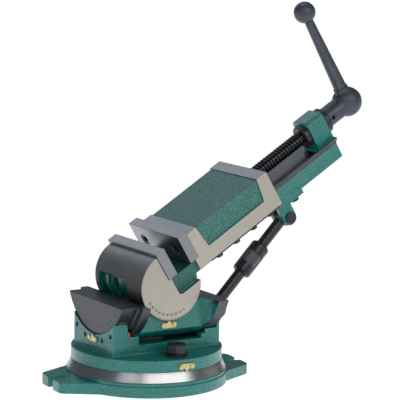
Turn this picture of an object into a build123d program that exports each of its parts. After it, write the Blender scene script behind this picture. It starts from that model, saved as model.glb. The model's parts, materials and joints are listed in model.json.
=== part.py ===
from build123d import *
import os
from math import cos, hypot, radians, sin, sqrt

os.makedirs("parts", exist_ok=True)

# Three-axis machine vise, in millimetres, +Z up.
# The origin is the middle of the underside of the base. X runs along the bed as seen from above,
# and -Y is the side with the tilt scale. The base turns about Z, the cradle rolls about X and
# the bed tilts about Y on its drum. The bed stands tilted, held by a turnbuckle strut.

# Clearances
running_gap = 0.05
sliding_gap = 0.05
side_gap = 0.3
seat_gap = 0.02

# Base casting and graduated ring. Their radii follow from the swivel body's flange.
base_margin = 1.3
base_thickness = 15.0
step_margin = 0.9
step_height = 4.5
ring_inset = 1.2
ring_flare = 6.3
ring_height = 12.5
ring_wall = 7.0
ear_angle = -5.0
ear_length = 31.0
ear_tip_half_width = 30.5
ear_root_depth = 20.5
ear_root_half_width = 58.5
ear_corner_radius = 9.0
ear_slot_width = 14.5
ear_slot_length = 20.5
tee_rim_width = 17.0
tee_throat_width = 17.0
tee_slot_width = 30.0
tee_slot_floor = 8.0
tee_slot_roof = 18.0
pivot_radius = 20.0
pivot_floor = 6.0
pivot_height = 36.0

# Swivel body
swivel_rim_width = 3.94
swivel_flange_height = 16.0
swivel_length = 164.0
swivel_width = 104.6
swivel_foot_fillet = 2.5
left_post_length = 22.0
right_post_length = 5.0
well_wall_thickness = 11.3
well_depth = 4.8
well_floor_rise = 5.95
front_wall_height = 7.0
ledge_height = 5.9
ledge_length = 6.0
trough_clearance = 2.0
trough_end_gap = 1.0
end_hole_radius = 3.0
end_hole_depth = 12.0
end_hole_circle = 86.0
end_hole_angles = (15.0, 31.0)

# Cradle, which rolls about a line along X
journal_radius = 77.4
cradle_length = 160.0
cradle_top_drop = 32.7
cradle_panel_half_width = 55.0
cradle_end_gap = 0.4
shoulder_radius = 83.0
shoulder_length = 4.1
flange_radius = 89.5
left_flange_length = 11.9
right_flange_length = 16.0
flank_length = 9.2
flank_spread = 11.0

# Drum and bed, in the bed's own directions from the drum's middle
tilt_angle = 31.45
drum_axis_drop = 11.4
drum_radius = 45.8
drum_length = 121.8
drum_recess_depth = 7.0
drum_recess_span = (141.0, 190.0)
drum_recess_sides = (-22.0, 52.0)
drum_slot_depth = 14.0
drum_slot_span = (146.0, 186.0)
drum_slot_sides = (11.0, 25.0)
drum_rib_height = 4.6
drum_rib_sides = (30.0, 35.0)
floor_half_width = 52.0
rail_half_width = 27.0
rail_top = 4.0
rail_edge = 1.8
rail_bottom = -8.4
web_half_width = 18.0
bed_bottom = -30.5
rail_start = 20.0
rail_end = 298.0
bed_end = 337.5
end_drop = 1.5
pocket_start = 5.5
pocket_floor = -19.0
pocket_corner_radius = 6.0

# Bearing block at the end of the bed
block_start = 308.0
block_half_width = 18.5
block_top = 43.0
block_corner_radius = 8.0

# Jaw plates
plate_width = 126.4
plate_thickness = 14.3
plate_bottom = 10.0
plate_top = 51.0
fixed_plate_back = 1.0
jaw_opening = 23.8
plate_screw_spacing = 76.0
plate_screw_height = 29.0
plate_screw_radius = 5.0
plate_screw_length = 20.0
plate_screw_head_radius = 8.0
plate_screw_head_height = 8.5
plate_screw_sink = 9.5
plate_screw_key = 8.0

# Moving jaw
jaw_length = 147.0
jaw_half_width = 57.6
jaw_top = 44.0
jaw_bottom = -8.45
jaw_toe = 4.1
toe_relief_length = 23.0
toe_relief_half_width = 52.4
toe_relief_gap = 0.5
jaw_cavity_half_width = 24.0
jaw_roof = 9.0
jaw_front_wall = 6.6
jaw_band = 18.2
top_recess = 1.2
side_recess = 2.2
side_recess_bottom = 11.0
side_recess_slant = 4.5
keeper_inner = 18.6
keeper_outer = 50.0
keeper_thickness = 6.0
keeper_screw_count = 4
keeper_screw_radius = 3.0
keeper_screw_head_radius = 5.0
keeper_screw_head_height = 3.5
keeper_screw_length = 14.0
keeper_screw_row = 44.5

# Lead screw, its nut and its bearings
screw_height = 23.0
screw_radius = 10.0
screw_start = 153.0
nut_length = 30.0
nut_half_width = 20.0
journal_shaft_radius = 8.0
bush_radius = 12.0
inner_collar_radius = 16.5
inner_collar_length = 7.5
outer_collar_radius = 19.0
outer_collar_length = 8.5

# Crank
hub_neck_radius = 14.5
hub_neck_length = 44.95
hub_head_radius = 21.0
socket_radius = 10.5
socket_height = 24.0
lever_foot_radius = 9.2
lever_top_radius = 6.2
lever_spigot_radius = 6.0
lever_spigot_length = 12.0
ball_radius = 15.0
ball_height = 147.4
hub_pin_radius = 2.5

# Turnbuckle strut between the cradle and the bed
lower_pivot_margin = 13.0
lower_pivot_drop = 61.8
upper_pivot_along = 222.4
upper_pivot_below = 56.2
strut_rod_radius = 7.8
eye_radius = 12.0
eye_half_width = 8.0
strut_pin_radius = 5.0
open_pivot_clearance = 1.8
lug_thickness = 7.4
lower_lug_radius = 12.0
upper_lug_radius = 10.5
pin_head_radius = 8.0
pin_head_length = 3.0
buckle_start = 62.4
buckle_length = 49.5
buckle_radius = 13.2
buckle_chamfer = 2.5
buckle_flat_width = 23.0
buckle_flat_length = 18.0
lower_rod_insertion = 9.5
upper_rod_insertion = 24.0
swivel_groove_depth = 1.5
swivel_groove_width = 3.0
swivel_groove_place = 5.0
pad_start = 212.0
pad_length = 46.0
pad_half_width = 17.0
pad_height = 7.5
pad_screw_place = 244.0
pad_screw_spacing = 20.0
pad_screw_radius = 4.0
pad_screw_head_radius = 6.0
pad_screw_head_height = 4.0
pad_screw_length = 16.0

# Swivel clamp bolts
clamp_bolt_radius = 8.0
clamp_hole_radius = 8.6
clamp_head_width = 26.0
clamp_head_height = 8.0
washer_radius = 15.0
washer_thickness = 3.0
clamp_nut_width = 24.0
clamp_nut_height = 12.5

# Brass pointers
pointer_width = 24.0
pointer_lobe_radius = 4.0
pointer_band = 5.4
pointer_height = 10.5
pointer_peak_half_width = 5.2
pointer_thickness = 1.6
rivet_radius = 1.6
rivet_head_height = 0.8
rivet_length = 5.0

# Copper plug that stands in the step of the front wall, beside the left post
plug_radius = 1.9
plug_length = 14.0
plug_gap = 0.7

# Radii worked out from the sizes above, from the swivel body's corners outwards
swivel_half_length = swivel_length / 2
swivel_half_width = swivel_width / 2
swivel_radius = hypot(swivel_half_length, swivel_half_width) + swivel_rim_width
ring_top_radius = swivel_radius - ring_inset
ring_foot_radius = ring_top_radius + ring_flare
ring_bore_radius = ring_top_radius - ring_wall
step_radius = ring_foot_radius + step_margin
base_radius = step_radius + base_margin
ear_reach = base_radius + ear_length
ear_root_reach = base_radius - ear_root_depth
ear_slot_reach = ear_reach - ear_slot_length
tee_circle_radius = ring_bore_radius - tee_rim_width

# Heights worked out from the sizes above
step_top = base_thickness + step_height
ring_top = step_top + ring_height
swivel_bottom = ring_top + sliding_gap
flange_top = swivel_bottom + swivel_flange_height
seat_radius = journal_radius + running_gap
well_floor = flange_top + well_floor_rise
front_wall_top = well_floor + front_wall_height
roll_axis_height = well_floor + well_depth + flange_radius
cradle_top = roll_axis_height - cradle_top_drop
drum_axis_height = roll_axis_height - drum_axis_drop
lower_pivot_height = roll_axis_height - lower_pivot_drop
post_top = roll_axis_height - sqrt(seat_radius**2 - swivel_half_width**2)
flange_trough_radius = flange_radius + trough_clearance
well_half_width = swivel_half_width - well_wall_thickness
cradle_half_length = cradle_length / 2
trough_radius = drum_radius + running_gap
drum_half_length = drum_length / 2
plate_height = plate_top - plate_bottom
fixed_plate_face = fixed_plate_back + plate_thickness
moving_plate_face = fixed_plate_face + jaw_opening
moving_plate_back = moving_plate_face + plate_thickness
jaw_rear = moving_plate_back + jaw_length
block_length = bed_end - block_start


# Directions of the tilted bed
along = Vector(cos(radians(tilt_angle)), 0, sin(radians(tilt_angle)))
upward = Vector(-sin(radians(tilt_angle)), 0, cos(radians(tilt_angle)))
drum_centre = Vector(0, 0, drum_axis_height)


def bed_point(x, y, z):
    """A place given along, across and above the bed, from the drum's middle."""
    return drum_centre + along * x + Vector(0, y, 0) + upward * z


def bed_section(x):
    """A plane square to the bed's length, drawn across (y) and up (z)."""
    return Plane(origin=bed_point(x, 0, 0), x_dir=(0, 1, 0), z_dir=along)


def bed_side(y):
    """A plane along the bed's side, drawn along (x) and up (z), that faces -Y."""
    return Plane(origin=bed_point(0, y, 0), x_dir=along, z_dir=(0, -1, 0))


def bed_level(z):
    """A plane level with the bed's ways, drawn along (x) and across (y)."""
    return Plane(origin=bed_point(0, 0, z), x_dir=along, z_dir=upward)


def screw_section(x):
    """A plane square to the lead screw, whose origin is on the screw's axis."""
    return Plane(origin=bed_point(x, 0, screw_height), x_dir=(0, 1, 0), z_dir=along)


# Line of the strut, from the lower pivot on the cradle to the upper pivot on the bed
lower_pivot_reach = cradle_half_length + eye_radius + lower_pivot_margin
lower_pivot = Vector(lower_pivot_reach, 0, lower_pivot_height)
upper_pivot = bed_point(upper_pivot_along, 0, -upper_pivot_below)
strut_length = (upper_pivot - lower_pivot).length
strut_line = (upper_pivot - lower_pivot).normalized()
strut_side = Vector(0, 1, 0)


def strut_section(distance):
    """A plane square to the strut at a distance from the lower pivot."""
    return Plane(origin=lower_pivot + strut_line * distance, x_dir=strut_side, z_dir=strut_line)


def cross_plane(place, half_width):
    """A plane that faces -Y at a place in the strut's plane, moved to +Y by half a width."""
    return Plane(origin=place + strut_side * half_width, x_dir=(1, 0, 0), z_dir=(0, -1, 0))


rivet_reach = pointer_width / 2 - pointer_lobe_radius
rivet_drop = pointer_height - pointer_lobe_radius
rivet_points = [(-rivet_reach, -rivet_drop), (rivet_reach, -rivet_drop)]


def pointer_outline():
    """Corner points of a pointer without its lobes. Its tip is at the origin and points up."""
    shoulder = -(pointer_height - pointer_band)
    return [
        (0, 0),
        (pointer_peak_half_width, shoulder),
        (rivet_reach, shoulder),
        (rivet_reach, -pointer_height),
        (-rivet_reach, -pointer_height),
        (-rivet_reach, shoulder),
        (-pointer_peak_half_width, shoulder),
    ]


# Places of the pointers, each at its tip on the face that carries it
tilt_tip = drum_axis_height - trough_radius - side_gap
tilt_pointer_plane = Plane(
    origin=(0, -cradle_panel_half_width, tilt_tip), x_dir=(1, 0, 0), z_dir=(0, -1, 0)
)
roll_tip = roll_axis_height - seat_radius - side_gap
roll_pointer_plane = Plane(
    origin=(-swivel_half_length, 0, roll_tip), x_dir=(0, -1, 0), z_dir=(-1, 0, 0)
)
swivel_tip = swivel_bottom + sliding_gap
swivel_pointer_plane = Plane(
    origin=(0, -swivel_radius, swivel_tip), x_dir=(-1, 0, 0), z_dir=(0, -1, 0)
)

# Base: a round flange with two forked ears, a raised step and a core with a round T slot
ear_points = [
    (0, -ear_root_half_width),
    (ear_root_reach, -ear_root_half_width),
    (ear_reach, -ear_tip_half_width),
    (ear_reach, ear_tip_half_width),
    (ear_root_reach, ear_root_half_width),
    (0, ear_root_half_width),
]
ear_planes = [Plane.XY.rotated((0, 0, ear_angle)), Plane.XY.rotated((0, 0, ear_angle + 180))]

with BuildPart() as base_casting:
    with BuildSketch() as flange_sketch:
        Circle(base_radius)
    extrude(amount=base_thickness)
    for ear_plane in ear_planes:
        with BuildSketch(ear_plane) as ear_sketch:
            with BuildLine():
                Polyline(*ear_points, close=True)
            make_face()
            ear_tips = ear_sketch.vertices().filter_by(
                lambda corner: hypot(corner.X, corner.Y) > (base_radius + ear_reach) / 2
            )
            fillet(ear_tips, radius=ear_corner_radius)
        extrude(amount=base_thickness)
    with BuildSketch(Plane.XY.offset(base_thickness)) as step_sketch:
        Circle(step_radius)
    extrude(amount=step_height)
    with BuildSketch(Plane.XY.offset(step_top)) as core_sketch:
        Circle(ring_bore_radius - seat_gap)
    extrude(amount=ring_height)
    for ear_plane in ear_planes:
        with BuildSketch(ear_plane) as slot_sketch:
            with Locations((ear_slot_reach, 0)):
                Circle(ear_slot_width / 2)
                Rectangle(
                    ear_reach - ear_slot_reach + ear_corner_radius,
                    ear_slot_width,
                    align=(Align.MIN, Align.CENTER),
                )
        extrude(amount=base_thickness, mode=Mode.SUBTRACT)
    with BuildSketch(Plane.XY.offset(tee_slot_floor)) as tee_sketch:
        Circle(tee_circle_radius + tee_slot_width / 2)
        Circle(tee_circle_radius - tee_slot_width / 2, mode=Mode.SUBTRACT)
    extrude(amount=tee_slot_roof - tee_slot_floor, mode=Mode.SUBTRACT)
    with BuildSketch(Plane.XY.offset(tee_slot_roof)) as throat_sketch:
        Circle(tee_circle_radius + tee_throat_width / 2)
        Circle(tee_circle_radius - tee_throat_width / 2, mode=Mode.SUBTRACT)
    extrude(amount=ring_top - tee_slot_roof, mode=Mode.SUBTRACT)
    with BuildSketch(Plane.XY.offset(pivot_floor)) as pivot_hole_sketch:
        Circle(pivot_radius + seat_gap)
    extrude(amount=ring_top - pivot_floor, mode=Mode.SUBTRACT)

base_casting.part.label = "base_casting"
export_step(base_casting.part, "parts/base_casting.step")

# Graduated ring: a cone, wider below, round the top of the base
with BuildPart() as graduated_ring:
    with BuildSketch(Plane.XZ) as ring_sketch:
        with BuildLine():
            Polyline(
                (ring_bore_radius, step_top),
                (ring_foot_radius, step_top),
                (ring_top_radius, ring_top),
                (ring_bore_radius, ring_top),
                close=True,
            )
        make_face()
    revolve(axis=Axis.Z)

graduated_ring.part.label = "graduated_ring"
export_step(graduated_ring.part, "parts/graduated_ring.step")

# Pivot: the post in the middle of the base that the swivel body turns on
with BuildPart() as centre_pivot:
    with BuildSketch(Plane.XY.offset(pivot_floor)) as pivot_sketch:
        Circle(pivot_radius)
    extrude(amount=pivot_height)
    chamfer(centre_pivot.faces().sort_by(Axis.Z)[-1].edges(), length=1.5)

centre_pivot.part.label = "centre_pivot"
export_step(centre_pivot.part, "parts/centre_pivot.step")

# Places along the cradle: journal, shoulder, flange, block, flank, flange, journal
cradle_left = -cradle_half_length
cradle_right = cradle_half_length
left_post_face = -swivel_half_length + left_post_length
right_post_face = swivel_half_length - right_post_length
shoulder_left = left_post_face + cradle_end_gap
left_flange_start = shoulder_left + shoulder_length
block_left = left_flange_start + left_flange_length
right_flange_end = right_post_face - trough_end_gap
right_flange_start = right_flange_end - right_flange_length
block_right = right_flange_start - flank_length

# Copper plug: its top stays clear of the cradle's shoulder
plug_place = (left_post_face + left_flange_start) / 2
plug_across = -(swivel_half_width - plug_radius - seat_gap)
plug_reach = shoulder_radius + plug_gap
plug_top = roll_axis_height - sqrt(plug_reach**2 - (abs(plug_across) - plug_radius) ** 2)
plug_bottom = plug_top - plug_length

# Swivel body: a round flange and a box with a round seat for the cradle at each end, a wider
# trough for each flange of the cradle and a well between them
well_left = left_post_face
well_right = right_flange_start - trough_end_gap
low_wall_left = block_left + trough_end_gap / 2
ledge_left = well_right - ledge_length
ledge_top = front_wall_top + ledge_height
pivot_roof = pivot_floor + pivot_height + 1.0

with BuildPart() as swivel_body:
    with BuildSketch(Plane.XY.offset(swivel_bottom)) as swivel_flange_sketch:
        Circle(swivel_radius)
    extrude(amount=swivel_flange_height)
    with BuildSketch(Plane.XY.offset(flange_top)) as box_sketch:
        Rectangle(swivel_length, swivel_width)
    extrude(amount=post_top - flange_top)
    box_foot = (
        swivel_body.edges()
        .filter_by(GeomType.LINE)
        .filter_by(lambda edge: abs(edge.center().Z - flange_top) < 0.01)
    )
    fillet(box_foot, radius=swivel_foot_fillet)
    with BuildSketch(Plane.XY.offset(well_floor)) as well_sketch:
        with Locations(((well_left + well_right) / 2, 0)):
            Rectangle(well_right - well_left, 2 * well_half_width)
    extrude(amount=post_top - well_floor, mode=Mode.SUBTRACT)
    with BuildSketch(Plane.XZ.offset(swivel_half_width)) as wall_cut_sketch:
        with BuildLine():
            Polyline(
                (low_wall_left, post_top),
                (low_wall_left, front_wall_top),
                (ledge_left, front_wall_top),
                (ledge_left, ledge_top),
                (well_right, ledge_top),
                (well_right, post_top),
                close=True,
            )
        make_face()
    extrude(amount=-swivel_width, mode=Mode.SUBTRACT)
    for trough_start, trough_end in ((well_left, low_wall_left), (well_right, right_post_face)):
        with BuildSketch(Plane.YZ.offset(trough_start)) as flange_trough_sketch:
            with Locations((0, roll_axis_height)):
                Circle(flange_trough_radius)
        extrude(amount=trough_end - trough_start, mode=Mode.SUBTRACT)
    with BuildSketch(Plane.XY.offset(plug_bottom)) as plug_hole_sketch:
        with Locations((plug_place, plug_across)):
            Circle(plug_radius + seat_gap)
    extrude(amount=plug_length, mode=Mode.SUBTRACT)
    with BuildSketch(Plane.YZ.offset(-swivel_half_length)) as seat_sketch:
        with Locations((0, roll_axis_height)):
            Circle(seat_radius)
    extrude(amount=swivel_length, mode=Mode.SUBTRACT)
    with BuildSketch(Plane.XY.offset(swivel_bottom)) as swivel_holes_sketch:
        Circle(pivot_radius + running_gap)
    extrude(amount=pivot_roof - swivel_bottom, mode=Mode.SUBTRACT)
    with BuildSketch(Plane.XY.offset(swivel_bottom)) as clamp_holes_sketch:
        with Locations((0, -tee_circle_radius), (0, tee_circle_radius)):
            Circle(clamp_hole_radius)
    extrude(amount=swivel_flange_height, mode=Mode.SUBTRACT)
    right_hole_start = swivel_half_length - end_hole_depth
    for end_plane in (Plane.YZ.offset(-swivel_half_length), Plane.YZ.offset(right_hole_start)):
        with BuildSketch(end_plane) as end_holes_sketch:
            for hole_angle in end_hole_angles:
                hole_side = end_hole_circle * sin(radians(hole_angle))
                hole_height = roll_axis_height - end_hole_circle * cos(radians(hole_angle))
                with Locations((-hole_side, hole_height), (hole_side, hole_height)):
                    Circle(end_hole_radius)
        extrude(amount=end_hole_depth, mode=Mode.SUBTRACT)
    for rivet_plane in (roll_pointer_plane, swivel_pointer_plane):
        with BuildSketch(rivet_plane) as rivet_hole_sketch:
            with Locations(*rivet_points):
                Circle(rivet_radius + seat_gap)
        extrude(amount=-rivet_length, mode=Mode.SUBTRACT)

swivel_body.part.label = "swivel_body"
export_step(swivel_body.part, "parts/swivel_body.step")

# Clamp bolts: square heads in the T slot of the base, with washers and nuts on the flange
bolt_places = [(0, -tee_circle_radius), (0, tee_circle_radius)]
bolt_top = flange_top + washer_thickness + clamp_nut_height
head_floor = tee_slot_roof - clamp_head_height - sliding_gap

with BuildPart() as swivel_bolts:
    with BuildSketch(Plane.XY.offset(head_floor)) as bolt_head_sketch:
        with Locations(*bolt_places):
            Rectangle(clamp_head_width, clamp_head_width)
    extrude(amount=clamp_head_height)
    with BuildSketch(Plane.XY.offset(head_floor + clamp_head_height)) as bolt_shank_sketch:
        with Locations(*bolt_places):
            Circle(clamp_bolt_radius)
    extrude(amount=bolt_top - head_floor - clamp_head_height)

swivel_bolts.part.label = "swivel_bolts"
export_step(swivel_bolts.part, "parts/swivel_bolts.step")

with BuildPart() as swivel_washers:
    with BuildSketch(Plane.XY.offset(flange_top)) as washer_sketch:
        with Locations(*bolt_places):
            Circle(washer_radius)
            Circle(clamp_bolt_radius + seat_gap, mode=Mode.SUBTRACT)
    extrude(amount=washer_thickness)

swivel_washers.part.label = "swivel_washers"
export_step(swivel_washers.part, "parts/swivel_washers.step")

with BuildPart() as swivel_nuts:
    with BuildSketch(Plane.XY.offset(flange_top + washer_thickness)) as nut_sketch:
        with Locations(*bolt_places):
            RegularPolygon(clamp_nut_width / 2, 6, major_radius=False)
            Circle(clamp_bolt_radius + seat_gap, mode=Mode.SUBTRACT)
    extrude(amount=clamp_nut_height)

swivel_nuts.part.label = "swivel_nuts"
export_step(swivel_nuts.part, "parts/swivel_nuts.step")

# Cradle: a round journal at each end, a flange beside each, and a block with flat sides between
# them. All of it is cut off level at the top, with a trough for the drum.
swing_reach = flange_radius + 5.0
flank_half_width = cradle_panel_half_width + flank_spread
lug_inner = eye_half_width + side_gap
lug_outer = lug_inner + lug_thickness
cradle_rounds = [
    (cradle_left, cradle_right, journal_radius),
    (shoulder_left, right_flange_end, shoulder_radius),
    (left_flange_start, right_flange_end, flange_radius),
]

with BuildPart() as cradle:
    for round_start, round_end, round_radius in cradle_rounds:
        with BuildSketch(Plane.YZ.offset(round_start)) as round_sketch:
            with Locations((0, roll_axis_height)):
                Circle(round_radius)
            with Locations((0, cradle_top)):
                Rectangle(
                    2 * round_radius,
                    2 * round_radius,
                    align=(Align.CENTER, Align.MIN),
                    mode=Mode.SUBTRACT,
                )
        extrude(amount=round_end - round_start)
    for side in (-1, 1):
        with BuildSketch(Plane.XY.offset(roll_axis_height - swing_reach)) as side_cut_sketch:
            with BuildLine():
                Polyline(
                    (block_left, side * cradle_panel_half_width),
                    (block_right, side * cradle_panel_half_width),
                    (right_flange_start, side * flank_half_width),
                    (right_flange_start, side * swing_reach),
                    (block_left, side * swing_reach),
                    close=True,
                )
            make_face()
        extrude(amount=swing_reach, mode=Mode.SUBTRACT)
    for side in (-1, 1):
        lug_plane = Plane.XZ.offset(lug_outer if side < 0 else -lug_inner)
        with BuildSketch(lug_plane) as lower_lug_sketch:
            with Locations((lower_pivot_reach, lower_pivot_height)):
                Circle(lower_lug_radius)
                Rectangle(
                    lower_pivot_reach - cradle_half_length + 1.0,
                    2 * lower_lug_radius,
                    align=(Align.MAX, Align.CENTER),
                )
        extrude(amount=-lug_thickness)
    with BuildSketch(Plane.XZ.offset(swing_reach)) as trough_sketch:
        with Locations((0, drum_axis_height)):
            Circle(trough_radius)
    extrude(amount=-2 * swing_reach, mode=Mode.SUBTRACT)
    with BuildSketch(Plane.XZ.offset(lug_outer)) as lower_pin_hole_sketch:
        with Locations((lower_pivot_reach, lower_pivot_height)):
            Circle(strut_pin_radius + seat_gap)
    extrude(amount=-2 * lug_outer, mode=Mode.SUBTRACT)
    with BuildSketch(tilt_pointer_plane) as tilt_rivet_hole_sketch:
        with Locations(*rivet_points):
            Circle(rivet_radius + seat_gap)
    extrude(amount=-rivet_length, mode=Mode.SUBTRACT)

cradle.part.label = "cradle"
export_step(cradle.part, "parts/cradle.step")

# Bed casting: the drum, the rails, the pad and lug for the strut, and the bearing block


def rail_outline(top, gap):
    """Right half of the dovetail, from its top edge to the web, made larger all round by a gap."""
    return [
        (rail_half_width + gap, top),
        (rail_half_width + gap, rail_top - rail_edge),
        (web_half_width + gap, rail_bottom),
    ]


def mirrored(points):
    """A closed outline from its right half: down the right side and up the left."""
    return points + [(-across, up) for across, up in reversed(points)]


rail_section = mirrored(rail_outline(rail_top, 0) + [(web_half_width, bed_bottom)])
end_section = mirrored(rail_outline(rail_top - end_drop, 0) + [(web_half_width, bed_bottom)])
recess_outer = drum_radius + 5.0
cut_reach = drum_half_length + 5.0


def polar(radius, angle):
    """A point in a side plane at a radius and an angle from the drum's middle."""
    return (radius * cos(angle), radius * sin(angle))


def wedge(span):
    """Corner points of a wedge at the drum's middle between two angles in degrees."""
    start, finish = (radians(angle) for angle in span)
    reach = 1.5 * drum_radius
    return [(0, 0), polar(reach, start), polar(reach, (start + finish) / 2), polar(reach, finish)]


drum_recess_floor = drum_radius - drum_recess_depth
drum_slot_floor = drum_radius - drum_slot_depth
drum_rib_top = drum_recess_floor + drum_rib_height

def plate_screw_points():
    """The two screw places of a jaw plate, drawn across and up."""
    half = plate_screw_spacing / 2
    return [(-half, plate_screw_height), (half, plate_screw_height)]


with BuildPart() as bed:
    with BuildSketch(bed_side(drum_half_length)) as drum_sketch:
        Circle(drum_radius)
    extrude(amount=drum_length)
    with BuildSketch(bed_side(cut_reach)) as jaw_seat_sketch:
        with BuildLine():
            Polyline(
                (fixed_plate_back, plate_bottom - seat_gap),
                (fixed_plate_face, plate_bottom - seat_gap),
                (fixed_plate_face, rail_top),
                (recess_outer, rail_top),
                (recess_outer, recess_outer),
                (fixed_plate_back, recess_outer),
                close=True,
            )
        make_face()
    extrude(amount=2 * cut_reach, mode=Mode.SUBTRACT)
    for side in (-1, 1):
        pocket_plane = bed_side(-floor_half_width if side < 0 else cut_reach)
        with BuildSketch(pocket_plane) as pocket_sketch:
            with BuildLine():
                Polyline(
                    (pocket_start, recess_outer),
                    (pocket_start, pocket_floor),
                    (recess_outer, pocket_floor),
                    (recess_outer, recess_outer),
                    close=True,
                )
            make_face()
            pocket_corner = pocket_sketch.vertices().sort_by_distance((pocket_start, pocket_floor))[0]
            fillet(pocket_corner, radius=pocket_corner_radius)
        extrude(amount=cut_reach - floor_half_width, mode=Mode.SUBTRACT)
    with BuildSketch(bed_side(drum_recess_sides[1])) as drum_recess_sketch:
        with BuildLine():
            Polyline(*wedge(drum_recess_span), close=True)
        make_face()
        Circle(drum_recess_floor, mode=Mode.SUBTRACT)
    extrude(amount=drum_recess_sides[1] - drum_recess_sides[0], mode=Mode.SUBTRACT)
    with BuildSketch(bed_side(drum_slot_sides[1])) as drum_slot_sketch:
        with BuildLine():
            Polyline(*wedge(drum_slot_span), close=True)
        make_face()
        Circle(drum_slot_floor, mode=Mode.SUBTRACT)
    extrude(amount=drum_slot_sides[1] - drum_slot_sides[0], mode=Mode.SUBTRACT)
    with BuildSketch(bed_side(drum_rib_sides[1])) as drum_rib_sketch:
        with BuildLine():
            Polyline(*wedge(drum_recess_span), close=True)
        make_face()
        Circle(drum_rib_top, mode=Mode.INTERSECT)
        Circle(drum_slot_floor, mode=Mode.SUBTRACT)
    extrude(amount=drum_rib_sides[1] - drum_rib_sides[0])
    with BuildSketch(bed_section(rail_start)) as rail_sketch:
        with BuildLine():
            Polyline(*rail_section, close=True)
        make_face()
    extrude(amount=rail_end - rail_start)
    with BuildSketch(bed_section(rail_end)) as end_sketch:
        with BuildLine():
            Polyline(*end_section, close=True)
        make_face()
    extrude(amount=bed_end - rail_end)
    with BuildSketch(bed_section(block_start)) as block_end_sketch:
        with BuildLine():
            Polyline(
                (-block_half_width, rail_top - end_drop),
                (-block_half_width, block_top),
                (block_half_width, block_top),
                (block_half_width, rail_top - end_drop),
                close=True,
            )
        make_face()
        block_corners = block_end_sketch.vertices().group_by(Axis.Y)[-1]
        fillet(block_corners, radius=block_corner_radius)
    extrude(amount=block_length)
    with BuildSketch(bed_level(bed_bottom)) as pad_sketch:
        with Locations((pad_start + pad_length / 2, 0)):
            Rectangle(pad_length, 2 * pad_half_width)
    extrude(amount=-pad_height)
    lug_height = upper_pivot_below + bed_bottom
    for side in (-1, 1):
        with BuildSketch(bed_side(-lug_inner if side < 0 else lug_outer)) as upper_lug_sketch:
            with Locations((upper_pivot_along, -upper_pivot_below)):
                Circle(upper_lug_radius)
                Rectangle(2 * upper_lug_radius, lug_height, align=(Align.CENTER, Align.MIN))
        extrude(amount=lug_thickness)
    with BuildSketch(bed_side(lug_outer)) as upper_pin_hole_sketch:
        with Locations((upper_pivot_along, -upper_pivot_below)):
            Circle(strut_pin_radius + seat_gap)
    extrude(amount=2 * lug_outer, mode=Mode.SUBTRACT)
    with BuildSketch(screw_section(block_start)) as bush_hole_sketch:
        Circle(bush_radius + seat_gap)
    extrude(amount=block_length, mode=Mode.SUBTRACT)
    with BuildSketch(bed_section(fixed_plate_back)) as fixed_tap_sketch:
        with Locations(*plate_screw_points()):
            Circle(plate_screw_radius + seat_gap)
    fixed_tap_depth = plate_screw_length + plate_screw_sink - plate_thickness
    extrude(amount=-fixed_tap_depth, mode=Mode.SUBTRACT)
    with BuildSketch(bed_level(bed_bottom - pad_height)) as pad_tap_sketch:
        with Locations((pad_screw_place, -pad_screw_spacing / 2), (pad_screw_place, pad_screw_spacing / 2)):
            Circle(pad_screw_radius + seat_gap)
    extrude(amount=pad_screw_length, mode=Mode.SUBTRACT)

bed.part.label = "bed"
export_step(bed.part, "parts/bed.step")

# Jaw plates: two ground blocks, each with two counterbored screws
with BuildPart() as fixed_jaw_plate:
    with BuildSketch(bed_section(fixed_plate_back)) as fixed_plate_sketch:
        with Locations((0, plate_bottom)):
            Rectangle(plate_width, plate_height, align=(Align.CENTER, Align.MIN))
    extrude(amount=plate_thickness)
    with BuildSketch(bed_section(fixed_plate_back)) as fixed_hole_sketch:
        with Locations(*plate_screw_points()):
            Circle(plate_screw_radius + seat_gap)
    extrude(amount=plate_thickness, mode=Mode.SUBTRACT)
    with BuildSketch(bed_section(fixed_plate_face - plate_screw_sink)) as fixed_sink_sketch:
        with Locations(*plate_screw_points()):
            Circle(plate_screw_head_radius + seat_gap)
    extrude(amount=plate_screw_sink, mode=Mode.SUBTRACT)

fixed_jaw_plate.part.label = "fixed_jaw_plate"
export_step(fixed_jaw_plate.part, "parts/fixed_jaw_plate.step")

with BuildPart() as moving_jaw_plate:
    with BuildSketch(bed_section(moving_plate_face)) as moving_plate_sketch:
        with Locations((0, plate_bottom)):
            Rectangle(plate_width, plate_height, align=(Align.CENTER, Align.MIN))
    extrude(amount=plate_thickness)
    with BuildSketch(bed_section(moving_plate_face)) as moving_hole_sketch:
        with Locations(*plate_screw_points()):
            Circle(plate_screw_radius + seat_gap)
    extrude(amount=plate_thickness, mode=Mode.SUBTRACT)
    with BuildSketch(bed_section(moving_plate_face)) as moving_sink_sketch:
        with Locations(*plate_screw_points()):
            Circle(plate_screw_head_radius + seat_gap)
    extrude(amount=plate_screw_sink, mode=Mode.SUBTRACT)

moving_jaw_plate.part.label = "moving_jaw_plate"
export_step(moving_jaw_plate.part, "parts/moving_jaw_plate.step")

fixed_sink_floor = fixed_plate_face - plate_screw_sink
with BuildPart() as fixed_plate_screws:
    with BuildSketch(bed_section(fixed_sink_floor)) as fixed_screw_head_sketch:
        with Locations(*plate_screw_points()):
            Circle(plate_screw_head_radius)
    extrude(amount=plate_screw_head_height)
    with BuildSketch(bed_section(fixed_sink_floor)) as fixed_screw_shank_sketch:
        with Locations(*plate_screw_points()):
            Circle(plate_screw_radius)
    extrude(amount=-plate_screw_length)
    with BuildSketch(bed_section(fixed_sink_floor + plate_screw_head_height)) as fixed_key_sketch:
        with Locations(*plate_screw_points()):
            RegularPolygon(plate_screw_key / 2, 6, major_radius=False)
    extrude(amount=-plate_screw_head_height / 2, mode=Mode.SUBTRACT)

fixed_plate_screws.part.label = "fixed_plate_screws"
export_step(fixed_plate_screws.part, "parts/fixed_plate_screws.step")

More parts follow.
